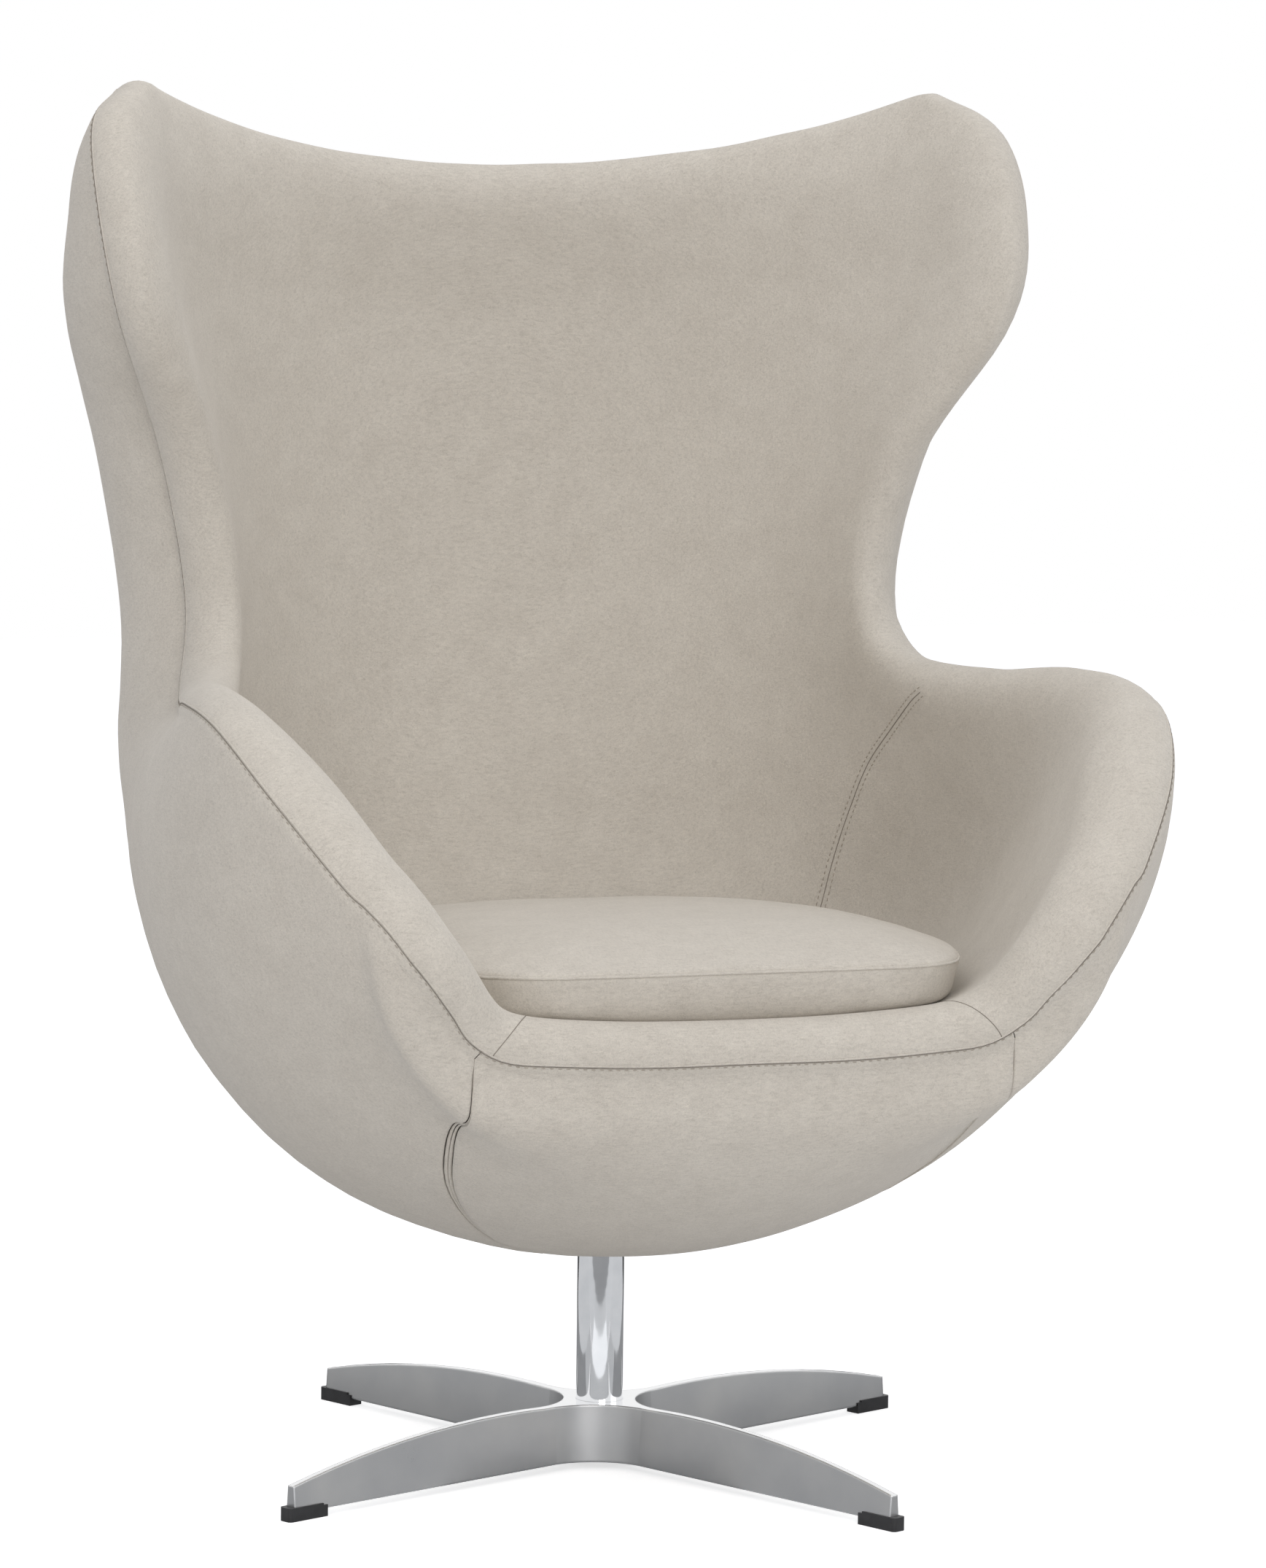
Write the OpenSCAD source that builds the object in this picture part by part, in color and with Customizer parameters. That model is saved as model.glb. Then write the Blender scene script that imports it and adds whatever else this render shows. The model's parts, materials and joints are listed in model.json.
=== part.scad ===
// Egg-shaped swivel and tilt lounge chair on a four-star pedestal base.
// Millimetres, +Z up, floor at z = 0, the sitter faces -Y. Each module is drawn about the swivel
// axis, and on_axis() then moves it so that the origin is the middle of the chair's footprint.

/* [Star base] */
// Turn of the star under the seat
star_turn = -20; // [-45:1:45]
// Swivel axis to the end face of a leg
leg_reach = 314; // [290:1:340]
// Height of the crest of a leg
leg_crest_h = 51; // [46:1:60]
// Swivel axis to the crest of a leg
leg_crest_at = 100; // [80:1:130]
// Height of a leg at its tip
leg_tip_h = 26; // [22:1:32]
// Height of the underside of the casting
casting_z = 6; // [5:0.5:8]
// Half width of a leg at the hub, at the underside
leg_half_w = 7.5; // [7:0.5:10]
// Draft of the leg sides, per millimetre of height
leg_draft = 0.08; // [0.02:0.01:0.09]
// Narrowing of the leg sides, per millimetre of length
leg_taper = 0.0105; // [0:0.0005:0.012]
// Thickness of the walls over the hollow underside
casting_wall = 5; // [4:0.5:7]

/* [Floor glides] */
// Length of a glide
glide_len = 37; // [30:1:45]
// Width of a glide
glide_w = 12.4; // [11.5:0.1:14]
// Height of a glide's rim
glide_h = 10.3; // [9:0.1:12]
// Thickness of a glide past the leg's end face
glide_lip = 6; // [4:0.5:8]
// Play between a glide and the leg
glide_play = 0.3; // [0.2:0.05:0.5]

/* [Column] */
// Outer radius of the column
column_r = 18; // [17:0.5:20]
// Wall of the column tube
column_wall = 3; // [2:0.5:4]
// Height of the top of the column
column_top = 169; // [162:1:175]
// Radius of the spindle
spindle_r = 11; // [10:0.5:12]
// Length of a bush
bush_len = 20; // [14:1:26]
// Flange of the upper bush
bush_flange = 2; // [1.5:0.5:3]
// Radius of a bearing ball
ball_r = 2; // [1.5:0.25:2.5]
// Number of bearing balls
ball_count = 14; // [8:1:15]
// Thickness of a bearing race
race_t = 1.5; // [1:0.25:2.5]
// Running play of a shaft in its bush, on the radius
run_play = 0.05; // [0.02:0.01:0.09]

/* [Base bolt] */
// Radius of the bolt
bolt_r = 6; // [5:0.5:7]
// Height of its head
bolt_head_h = 7; // [5:0.5:8]
// Thickness of its washer
bolt_washer_t = 2; // [1.5:0.5:3]
// Thickness of the hub floor that it clamps
hub_floor_t = 6; // [5:0.5:9]
// Height of the threaded plug in the column
plug_h = 22; // [16:1:26]

/* [Tilt mechanism] */
// Tilt axis behind the swivel axis
tilt_y = -45; // [-50:1:-40]
// Tilt axis above the column top
tilt_rise = 36; // [32:1:40]
// Radius of the tilt pin
pin_r = 6; // [5:0.5:7]
// Thickness of the housing's plates
housing_t = 5; // [4:0.5:6]
// Half width of the housing
housing_half_w = 50; // [46:1:52]
// Front of the housing ahead of the tilt axis
housing_front = 16; // [14:1:18]
// Back of the housing behind the swivel axis
housing_back = 58; // [56:1:60]
// Gap between the housing and the shell's ears
ear_gap = 0.4; // [0.3:0.1:1]
// Thickness of an ear
ear_t = 5; // [4:0.5:6]
// Distance from the tilt axis up to the mounting plate
plate_rise = 41; // [39:0.5:44]
// Thickness of the mounting plate
plate_t = 5; // [4:0.5:6]
// Radius of the mounting plate
plate_r = 84; // [80:1:86]
// Radius of the circle of plate screws
screw_circle_r = 70; // [68:1:72]
// Radius of a plate screw
screw_r = 4; // [3:0.5:5]
// Length of a plate screw in the shell
screw_len = 22; // [16:1:26]

/* [Return spring and tension knob] */
// Spring behind the swivel axis
spring_y = 36; // [34:1:38]
// Mean radius of the spring
spring_r = 13; // [12:0.5:14]
// Radius of the spring wire
wire_r = 2; // [1.5:0.25:2.5]
// Turns of the spring
spring_turns = 6; // [4:1:7]
// Thickness of the spring cup
cup_t = 3; // [2:0.5:4]
// Radius of the tension knob
knob_r = 15; // [13:0.5:16]
// Height of the tension knob
knob_h = 13; // [10:1:15]
// Radius of the tension bolt
tension_r = 5; // [4:0.5:6]

/* [Shell] */
// Height of the lowest point of the shell
shell_z = 165; // [160:1:170]
// Height of the shell, from its lowest point to the seam over the head
shell_h = 877; // [850:1:900]
// Thickness of the upholstery
cover_t = 4; // [3:0.5:5]
// Bond gap under the upholstery
bond_gap = 0.3; // [0.2:0.05:0.5]
// How far the padded rim bulges past its edges
rim_bulge = 24; // [18:1:28]
// Room between the mounting plate and the wall of the recess in the underside
recess_room = 6; // [4:0.5:10]
// Widest gap of the two open darts beside the front apron
dart_gap = 7; // [3:0.5:9]
// Slope of the recess edge, front higher than back
recess_edge_slope = 1; // [0.8:0.1:1.2]
// Height of the recess edge above the lowest point of the shell, on the swivel axis
recess_edge_h = 9.8; // [9:0.1:9.8]

/* [Seat cushion] */
// Play between the cushion's foot and the seat
cushion_play = 0.5; // [0.3:0.1:0.9]
// Depth of the cushion's side band
cushion_band = 30; // [24:1:34]
// Crown of the cushion above the seam
cushion_crown = 26; // [18:1:32]
// Backward slope of the cushion
cushion_slope = 2.6; // [2:0.5:4]
// How far the cushion's sides are drawn in below the seam
cushion_draw = 9; // [6:1:14]

/* [Hidden] */
$fn = 72;

felt = [0.72, 0.68, 0.62];
foam = [0.86, 0.80, 0.62];
polished = [0.80, 0.81, 0.83];
chrome = [0.88, 0.89, 0.91];
steel = [0.55, 0.56, 0.58];
black = [0.09, 0.09, 0.10];
nylon = [0.90, 0.89, 0.84];

// The stations and outlines below are drawn for a shell of this height
drawn_h = 877;
shell_fit = shell_h / drawn_h;

// ---- Outline of the shell ------------------------------------------------------------------
// A skin is drawn through the line of its front edge and then through stations that run under or
// over the seat and up the back to the head rim. The front edge is given by its right half, from
// the middle of the lip past the front corner and up the arm. Each station is an arch from the
// middle of the skin out to its side edge:
// [middle y, middle z, edge x, edge y, edge z, wrap angle of the arch, flatness of its middle]
// Heights are above the lowest point of the shell. The edge of the outer skin is the rim seam.
outer_front = [
    [0, -325, 185], [74, -324, 185], [140, -323, 188], [186, -320, 193], [216, -324, 210],
    [234, -333, 233], [247, -340, 249], [258, -343, 262], [266, -344, 271]
];
outer_stations = [
    [-308, 131, 282, -340, 292,  92, 1.5],
    [-246,  69, 296, -332, 308,  82, 1],
    [-142,  23, 310, -322, 323,  94, 1],
    [   0,   1, 348, -278, 379, 104, 1],
    [ 140,  19, 370, -210, 423, 104, 1],
    [ 262,  85, 366, -118, 431, 103, 1],
    [ 345, 195, 340,  -10, 421, 106, 1],
    [ 390, 325, 308,  110, 425, 112, 1],
    [ 400, 460, 290,  162, 495, 115, 1],
    [ 392, 595, 314,  152, 615, 114, 1],
    [ 372, 695, 364,   90, 720, 108, 1],
    [ 350, 750, 378,  100, 795, 101, 1],
    [ 328, 785, 374,  136, 853,  92, 1],
    [ 305, 809, 346,  178, 877,  50, 1]
];
inner_front = [
    [0, -288, 213], [62, -288, 214], [112, -287, 217], [150, -286, 221], [178, -285, 227],
    [196, -291, 243], [209, -299, 263], [220, -302, 280], [228, -302, 291]
];
inner_stations = [
    [-230, 206, 240, -296, 310,  86, 2.0],
    [-150, 201, 251, -288, 326,  90, 2.8],
    [ -60, 196, 262, -280, 341,  94, 3.2],
    [  30, 191, 292, -234, 393,  96, 3.2],
    [ 110, 187, 314, -172, 423,  96, 3.0],
    [ 184, 200, 312,  -90, 427,  95, 2.6],
    [ 244, 264, 288,    0, 421,  94, 1.8],
    [ 282, 360, 258,  105, 433,  94, 1.2],
    [ 312, 475, 240,  145, 505,  94, 1],
    [ 320, 595, 262,  135, 610,  94, 1],
    [ 312, 685, 310,   80, 715,  90, 1],
    [ 300, 740, 328,   90, 780,  84, 1],
    [ 287, 780, 324,  126, 835,  74, 1],
    [ 272, 805, 308,  168, 859,  46, 1]
];
// Path of the open dart beside the front apron, in plan, from the lip seam to the recess
dart_path = [[206, -340], [205, -300], [198, -250], [176, -190], [116, -102], [58, -60], [30, -20]];

rows = 28;          // cells from the front lip to the head rim
half_cols = 8;      // cells from the middle to one edge
cols = 2 * half_cols;
col_bend = 80;      // how much closer the columns lie towards the edges, 0 to 90
rim_steps = 6;      // cells across the padded rim
seam_end = 0.98;    // share of the rim that the inner cover wraps, up to the seam

// Catmull-Rom spline through the rows of a list, at t from 0 to the last index
function spline4(a, b, c, d, f) =
    0.5 * (2 * b + (c - a) * f + (2 * a - 5 * b + 4 * c - d) * f * f
        + (3 * b - a - 3 * c + d) * f * f * f);
function spline(list, t) =
    let (last = len(list) - 1,
         i = min(floor(t), last - 1),
         b = list[i],
         c = list[i + 1],
         a = i > 0 ? list[i - 1] : 2 * b - c,
         d = i + 2 <= last ? list[i + 2] : 2 * c - b)
    spline4(a, b, c, d, t - i);

// Place across a skin, from -1 to 1, of column j: closer together towards the edges
function across(j) = sin(col_bend * (j - half_cols) / half_cols) / sin(col_bend);

// Point of a station's arch, with v from -1 to 1 across the skin
function arch_point(s, v) =
    let (out = sin(v * s[5]) / sin(s[5]),
         deep = pow((1 - cos(v * s[5])) / (1 - cos(s[5])), s[6]))
    [s[2] * out, s[0] + (s[3] - s[0]) * deep, s[1] + (s[4] - s[1]) * deep];

// Point of the front edge at column j
function front_point(front, j) =
    let (p = front[abs(j - half_cols)]) [sign(j - half_cols) * p[0], p[1], p[2]];

// One column of a skin, from the front edge to the head rim
function skin_column(front, stations, j) =
    concat([front_point(front, j)], [for (s = stations) arch_point(s, across(j))]);

function skin_grid(front, stations) =
    let (columns = [for (j = [0 : cols]) skin_column(front, stations, j)])
    [for (i = [0 : rows]) [for (j = [0 : cols])
        spline(columns[j], i / rows * len(stations)) * shell_fit + [0, 0, shell_z]]];

outer_grid = skin_grid(outer_front, outer_stations);
inner_grid = skin_grid(inner_front, inner_stations);

// Grid places round the edge of a skin, as one closed loop
edge_loop = concat(
    [for (j = [0 : cols - 1]) [0, j]],
    [for (i = [0 : rows - 1]) [i, cols]],
    [for (j = [cols : -1 : 1]) [rows, j]],
    [for (i = [rows : -1 : 1]) [i, 0]]
);
edges = len(edge_loop);

function unit(v) = v / norm(v);
function at(grid, p) = grid[p[0]][p[1]];

rim_middle = [for (p = edge_loop) (at(outer_grid, p) + at(inner_grid, p)) / 2];
rim_half = [for (p = edge_loop) (at(outer_grid, p) - at(inner_grid, p)) / 2];
// Direction in which the rim bulges, square to the rim and to the line between the two skins
rim_out = [for (k = [0 : edges - 1])
    unit(cross(rim_half[k], rim_middle[(k + 1) % edges] - rim_middle[(k + edges - 1) % edges]))];

// Point on the padded rim: s from 0 at the inner skin's edge to 1 at the seam
function rim_point(k, s) =
    rim_middle[k] - rim_half[k] * cos(180 * s) + rim_out[k] * rim_bulge * sin(180 * s);
function rim_inset(k, s, inset) =
    let (p = rim_point(k, s))
    p + inset * unit(rim_middle[k] - p);
function rim_ring(s, inset) = [for (k = [0 : edges - 1]) rim_inset(k, s, inset)];

// A skin moved towards the other one by inset
function inset_grid(from, to, inset) =
    [for (i = [0 : rows]) [for (j = [0 : cols])
        from[i][j] + inset * unit(to[i][j] - from[i][j])]];

// ---- Mesh helpers --------------------------------------------------------------------------
function flat(list) = [for (row = list) for (p = row) p];
function reversed(faces) = [for (f = faces) [f[2], f[1], f[0]]];
function grid_index(i, j, start) = start + i * (cols + 1) + j;
function grid_loop(start) = [for (p = edge_loop) grid_index(p[0], p[1], start)];
function ring_loop(start) = [for (k = [0 : edges - 1]) start + k];
// Triangles over a skin, seen from inside the seat
function grid_faces(start) = [
    for (i = [0 : rows - 1]) for (j = [0 : cols - 1])
        let (a = grid_index(i, j, start),
             b = grid_index(i + 1, j, start),
             c = grid_index(i + 1, j + 1, start),
             d = grid_index(i, j + 1, start))
        for (f = j < half_cols ? [[a, b, d], [b, c, d]] : [[a, c, d], [a, b, c]]) f
];
// Triangles between two loops of the same length
function band_faces(a, b) = [
    for (k = [0 : edges - 1])
        let (n = (k + 1) % edges)
        for (f = [[a[k], a[n], b[k]], [a[n], b[n], b[k]]]) f
];
function chain_faces(loops) =
    flat([for (i = [0 : len(loops) - 2]) band_faces(loops[i], loops[i + 1])]);

cells = (rows + 1) * (cols + 1);

// Outer skin, padded rim and inner skin as one closed body, everywhere inset from the surface
module egg_body(inset) {
    rings = [for (i = [1 : rim_steps]) rim_ring(seam_end * i / rim_steps, inset)];
    points = concat(
        flat(inset_grid(inner_grid, outer_grid, inset)),
        flat(rings),
        flat(inset_grid(outer_grid, inner_grid, inset))
    );
    loops = concat(
        [grid_loop(0)],
        [for (i = [0 : rim_steps - 1]) ring_loop(cells + i * edges)],
        [grid_loop(cells + rim_steps * edges)]
    );
    polyhedron(points, concat(
        grid_faces(0),
        chain_faces(loops),
        reversed(grid_faces(cells + rim_steps * edges))
    ));
}

// ---- Placement helpers ---------------------------------------------------------------------
// Rear and front ends of the shell, whose middle is the origin of the part
shell_back = max([for (p = flat(outer_grid)) p[1]]);
shell_front = min([for (k = [0 : edges - 1]) for (i = [0 : rim_steps]) rim_point(k, i / rim_steps)[1]]);
axis_y = -(shell_front + shell_back) / 2;
echo(axis_y = axis_y, shell_front = shell_front, shell_back = shell_back);

module on_axis() {
    translate([0, axis_y, 0]) children();
}

module ring(r_out, r_in, h) {
    difference() {
        cylinder(r = r_out, h = h);
        translate([0, 0, -1]) cylinder(r = r_in, h = h + 2);
    }
}

// ---- Heights of the stack on the swivel axis -------------------------------------------------
hub_floor_z = casting_z + bolt_washer_t + bolt_head_h + 1;
tube_z = hub_floor_z + hub_floor_t;
bearing_z = column_top + bush_flange;
cage_z = bearing_z + race_t + ball_r;
housing_z = bearing_z + 2 * race_t + 2 * ball_r;
tilt_z = column_top + tilt_rise;
plate_z = tilt_z + plate_rise;
ceiling_z = plate_z + plate_t + bond_gap;
recess_r = plate_r + recess_room;
tube_inner_r = column_r - column_wall;
bearing_r = (spindle_r + column_r) / 2;
seat_gap = 0.05;    // gap of parts that are pressed or screwed together

// ---- Star base -----------------------------------------------------------------------------
leg_angles = [45, 135, 225, 315];
arch_drop = leg_crest_h - leg_tip_h;
arch_run = leg_reach - leg_crest_at;
arch_r = (arch_run * arch_run + arch_drop * arch_drop) / (2 * arch_drop);
// The hollow wall between two legs is a cone that runs in under the skin of the leg sides
wall_run_in = 0.3;
hub_half = 57.5;
hub_top = leg_crest_h - arch_r + sqrt(pow(arch_r, 2) - pow(leg_crest_at - hub_half, 2));
low_half_w = leg_half_w - wall_run_in;
top_half_w = low_half_w - leg_draft * (hub_top - casting_z);
cone_low_r = hub_half - low_half_w;
cone_top_r = hub_half - top_half_w;
echo(hub_wall_at = hub_half * sqrt(2) - cone_top_r, hub_top = hub_top);

// Solid under the arch of a leg, lowered by drop
module under_arch(drop) {
    translate([leg_crest_at, 0, leg_crest_h - arch_r])
        rotate([90, 0, 0])
            cylinder(r = arch_r - drop, h = 80, center = true, $fn = 240);
}

// Everything on the inner side of one side wall of a leg, moved in by wall
module side_plane(wall) {
    translate([hub_half, leg_half_w - wall, casting_z])
        rotate([atan(leg_draft), 0, -atan(leg_taper)])
            translate([-200, -100, -100]) cube([600, 100, 200]);
}

module between_sides(wall) {
    intersection() {
        children();
        side_plane(wall);
        mirror([0, 1, 0]) side_plane(wall);
    }
}

module leg() {
    between_sides(0) union() {
        translate([0, -20, casting_z]) cube([hub_half, 40, hub_top - casting_z]);
        intersection() {
            translate([hub_half, -20, casting_z]) cube([leg_reach - hub_half, 40, 80]);
            under_arch(0);
        }
    }
}

// Hollow under a leg, open to the floor
module leg_hollow() {
    between_sides(casting_wall / 2) intersection() {
        translate([hub_half - 20, -20, -1])
            cube([leg_reach - glide_len - hub_half, 40, 80]);
        under_arch(casting_wall * 2);
    }
}

module hub_block() {
    difference() {
        translate([-hub_half, -hub_half, casting_z])
            cube([2 * hub_half, 2 * hub_half, hub_top - casting_z]);
        for (x = [-hub_half, hub_half])
            for (y = [-hub_half, hub_half])
                translate([x, y, casting_z])
                    cylinder(r1 = cone_low_r, r2 = cone_top_r, h = hub_top - casting_z);
    }
}

module star_base() {
    color(polished)
    on_axis() rotate([0, 0, star_turn]) difference() {
        union() {
            rotate([0, 0, 45]) hub_block();
            for (a = leg_angles) rotate([0, 0, a]) leg();
        }
        for (a = leg_angles) rotate([0, 0, a]) leg_hollow();
        translate([0, 0, -1]) cylinder(r = bolt_r * 4, h = hub_floor_z + 1);
        cylinder(r = bolt_r + 0.4, h = 80);
        translate([0, 0, tube_z]) cylinder(r = column_r + seat_gap, h = 80);
    }
}

// ---- Floor glides --------------------------------------------------------------------------
glide_floor = casting_z - glide_play;
module foot_glide(n) {
    color(black)
    on_axis() rotate([0, 0, star_turn + leg_angles[n]]) difference() {
        translate([leg_reach + glide_lip - glide_len, 0, 0]) intersection() {
            translate([0, -glide_w / 2, 0]) cube([glide_len, glide_w, glide_h]);
            union() {
                translate([0, -glide_w / 2, 0]) cube([glide_len - 3, glide_w, glide_h]);
                translate([0, 3 - glide_w / 2, 0]) cube([glide_len, glide_w - 6, glide_h]);
                for (s = [-1, 1])
                    translate([glide_len - 3, s * (glide_w / 2 - 3), 0]) cylinder(r = 3, h = glide_h);
            }
        }
        // Pocket that the tip of the leg stands in
        translate([0, 0, 0]) intersection() {
            translate([leg_reach - glide_len, -30, glide_floor])
                cube([glide_len + glide_play, 60, 60]);
            side_plane(-glide_play);
            mirror([0, 1, 0]) side_plane(-glide_play);
        }
        // Low step at the inner end
        translate([leg_reach + glide_lip - glide_len - 1, -30, glide_h - 1.5]) cube([5, 60, 10]);
    }
}

// ---- Column --------------------------------------------------------------------------------
module base_bolt() {
    color(steel) on_axis() {
        translate([0, 0, hub_floor_z - bolt_washer_t - bolt_head_h])
            cylinder(r = bolt_r * 1.8, h = bolt_head_h, $fn = 6);
        translate([0, 0, hub_floor_z - bolt_washer_t - 0.5])
            cylinder(r = bolt_r, h = bolt_washer_t + hub_floor_t + plug_h - 2);
    }
}

module base_washer() {
    color(steel) on_axis()
        translate([0, 0, hub_floor_z - bolt_washer_t]) ring(bolt_r * 2.2, bolt_r + 0.4, bolt_washer_t);
}

module column_plug() {
    color(steel) on_axis()
        translate([0, 0, tube_z]) ring(tube_inner_r - seat_gap, bolt_r + seat_gap, plug_h);
}

module column_tube() {
    color(chrome) on_axis()
        translate([0, 0, tube_z]) ring(column_r, tube_inner_r, column_top - tube_z);
}

lower_bush_z = tube_z + plug_h + 18;
module lower_bush() {
    color(nylon) on_axis()
        translate([0, 0, lower_bush_z])
            ring(tube_inner_r - seat_gap, spindle_r + run_play, bush_len);
}

module upper_bush() {
    color(nylon) on_axis() difference() {
        union() {
            translate([0, 0, column_top - bush_len]) cylinder(r = tube_inner_r - seat_gap, h = bush_len);
            translate([0, 0, column_top]) cylinder(r = column_r, h = bush_flange);
        }
        translate([0, 0, column_top - bush_len - 1])
            cylinder(r = spindle_r + run_play, h = bush_len + bush_flange + 2);
    }
}

module race(z) {
    translate([0, 0, z]) ring(column_r - 0.3, spindle_r + 0.3, race_t);
}

module lower_race() {
    color(steel) on_axis() race(bearing_z);
}

module upper_race() {
    color(steel) on_axis() race(bearing_z + race_t + 2 * ball_r);
}

module at_balls() {
    for (i = [0 : ball_count - 1])
        rotate([0, 0, 360 * i / ball_count]) translate([bearing_r, 0, cage_z]) children();
}

module ball_cage() {
    color(nylon) on_axis() difference() {
        translate([0, 0, cage_z - 0.8]) ring(column_r - 0.5, spindle_r + 0.5, 1.6);
        at_balls() translate([0, 0, -2]) cylinder(r = ball_r + 0.08, h = 4, $fn = 24);
    }
}

module bearing_balls() {
    color(steel) on_axis() at_balls() sphere(r = ball_r - 0.02, $fn = 24);
}

// ---- Swivel carriage -------------------------------------------------------------------------
ring_t = 2;
ring_z = lower_bush_z - 0.3 - ring_t;
spindle_low = ring_z - 4;
boss_r = spindle_r + 7;
boss_h = 14;

module spindle() {
    color(steel) on_axis() difference() {
        translate([0, 0, spindle_low])
            cylinder(r = spindle_r, h = housing_z + housing_t + boss_h - spindle_low);
        translate([0, 0, ring_z - 0.1]) ring(spindle_r + 1, spindle_r - 1.5, ring_t + 0.2);
    }
}

module retaining_ring() {
    color(steel) on_axis() translate([0, 0, ring_z]) difference() {
        cylinder(r = tube_inner_r - 1, h = ring_t);
        translate([0, 0, -1]) cylinder(r = spindle_r - 1.45, h = ring_t + 2);
        translate([0, -3, -1]) cube([40, 6, ring_t + 2]);
    }
}

// Side of the housing: low over the spring, up to an eye round the tilt pin
module housing_cheek() {
    rotate([90, 0, 90]) linear_extrude(housing_t) union() {
        polygon([
            [tilt_y - housing_front, housing_z], [housing_back, housing_z],
            [housing_back, housing_z + 14], [tilt_y + housing_front + 30, housing_z + 24],
            [tilt_y + housing_front, tilt_z], [tilt_y - housing_front, tilt_z]
        ]);
        translate([tilt_y, tilt_z]) circle(r = housing_front);
    }
}

module tilt_housing() {
    color(steel) on_axis() difference() {
        union() {
            translate([-housing_half_w, tilt_y - housing_front, housing_z])
                cube([2 * housing_half_w, housing_back - tilt_y + housing_front, housing_t]);
            translate([housing_half_w - housing_t, 0, 0]) housing_cheek();
            translate([-housing_half_w, 0, 0]) housing_cheek();
            translate([0, 0, housing_z]) cylinder(r = boss_r, h = housing_t + boss_h);
        }
        translate([0, 0, housing_z - 1]) cylinder(r = spindle_r + seat_gap, h = 60);
        translate([-80, tilt_y, tilt_z]) rotate([0, 90, 0]) cylinder(r = pin_r + seat_gap, h = 160);
        translate([0, spring_y, housing_z - 1]) cylinder(r = tension_r + run_play, h = 20);
    }
}

pin_half = housing_half_w + ear_gap + ear_t + 5;
clip_t = 1.5;
module tilt_pin() {
    color(chrome) on_axis() translate([0, tilt_y, tilt_z]) rotate([0, 90, 0]) difference() {
        translate([0, 0, -pin_half]) cylinder(r = pin_r, h = 2 * pin_half);
        for (s = [-1, 1])
            translate([0, 0, s * (pin_half - 3) - clip_t / 2]) ring(pin_r + 1, pin_r - 1, clip_t);
    }
}

module pin_clips() {
    color(steel) on_axis() translate([0, tilt_y, tilt_z]) rotate([0, 90, 0])
        for (s = [-1, 1])
            translate([0, 0, s * (pin_half - 3) - clip_t / 2 + seat_gap])
                ring(pin_r + 3, pin_r - 1 + seat_gap, clip_t - 2 * seat_gap);
}

// ---- Return spring and tension knob ----------------------------------------------------------
cup_z = housing_z + housing_t + 0.3;
spring_z = cup_z + cup_t;
spring_h = plate_z - spring_z - 0.6;

module spring_cup() {
    color(steel) on_axis() translate([0, spring_y, cup_z]) {
        cylinder(r = spring_r + wire_r + 1, h = cup_t);
        cylinder(r = spring_r - wire_r - 0.5, h = cup_t + 5);
    }
}

spring_sides = 6;
spring_steps = 12;
spring_rings = spring_turns * spring_steps;
spring_pitch = (spring_h - 2 * wire_r) / spring_turns;
function spring_ring(i) =
    let (a = 360 * i / spring_steps,
         z = spring_z + wire_r + spring_pitch * i / spring_steps)
    [for (k = [0 : spring_sides - 1])
        let (b = 360 * k / spring_sides,
             r = spring_r + wire_r * cos(b))
        [r * cos(a), spring_y + r * sin(a), z + wire_r * sin(b)]];
echo(spring_low = spring_z);
echo(spring_gap_between_turns = spring_pitch - 2 * wire_r);

module return_spring() {
    points = flat([for (i = [0 : spring_rings]) spring_ring(i)]);
    sides = [
        for (i = [0 : spring_rings - 1]) for (k = [0 : spring_sides - 1])
            let (n = (k + 1) % spring_sides,
                 a = i * spring_sides + k,
                 b = i * spring_sides + n,
                 c = a + spring_sides,
                 d = b + spring_sides)
            for (f = [[a, c, b], [b, c, d]]) f
    ];
    last = spring_rings * spring_sides;
    caps = [
        for (k = [1 : spring_sides - 2]) for (f = [
            [0, k, k + 1], [last, last + k + 1, last + k]
        ]) f
    ];
    color(steel) on_axis() polyhedron(points, concat(sides, caps));
}

knob_z = housing_z - 1 - knob_h;
module tension_bolt() {
    color(steel) on_axis() translate([0, spring_y, knob_z + 3])
        cylinder(r = tension_r, h = cup_z - knob_z - 3 - 0.1);
}

module tension_knob() {
    color(black) on_axis() translate([0, spring_y, knob_z]) difference() {
        cylinder(r = knob_r, h = knob_h);
        for (i = [0 : 7])
            rotate([0, 0, 45 * i]) translate([knob_r + 1.5, 0, -1]) cylinder(r = 3.5, h = knob_h + 2, $fn = 24);
        translate([0, 0, 3]) cylinder(r = tension_r + seat_gap, h = knob_h);
    }
}

// ---- Shell ---------------------------------------------------------------------------------
// Four screws, clear of the housing and of the ears at every tilt
module at_screws() {
    for (a = [0, 90, 180, 270]) rotate([0, 0, a]) translate([screw_circle_r, 0, 0]) children();
}

module mounting_plate() {
    ear_x = housing_half_w + ear_gap;
    color(steel) on_axis() difference() {
        union() {
            translate([0, 0, plate_z]) cylinder(r = plate_r, h = plate_t);
            for (x = [ear_x, -ear_x - ear_t])
                translate([x, 0, 0]) rotate([90, 0, 90]) linear_extrude(ear_t) union() {
                    translate([tilt_y, tilt_z]) circle(r = housing_front);
                    translate([tilt_y - housing_front, tilt_z])
                        square([2 * housing_front, plate_rise + 1]);
                }
        }
        translate([-80, tilt_y, tilt_z]) rotate([0, 90, 0]) cylinder(r = pin_r + run_play, h = 160);
        at_screws() translate([0, 0, plate_z - 1]) cylinder(r = screw_r + 0.4, h = plate_t + 2);
    }
}

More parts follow.
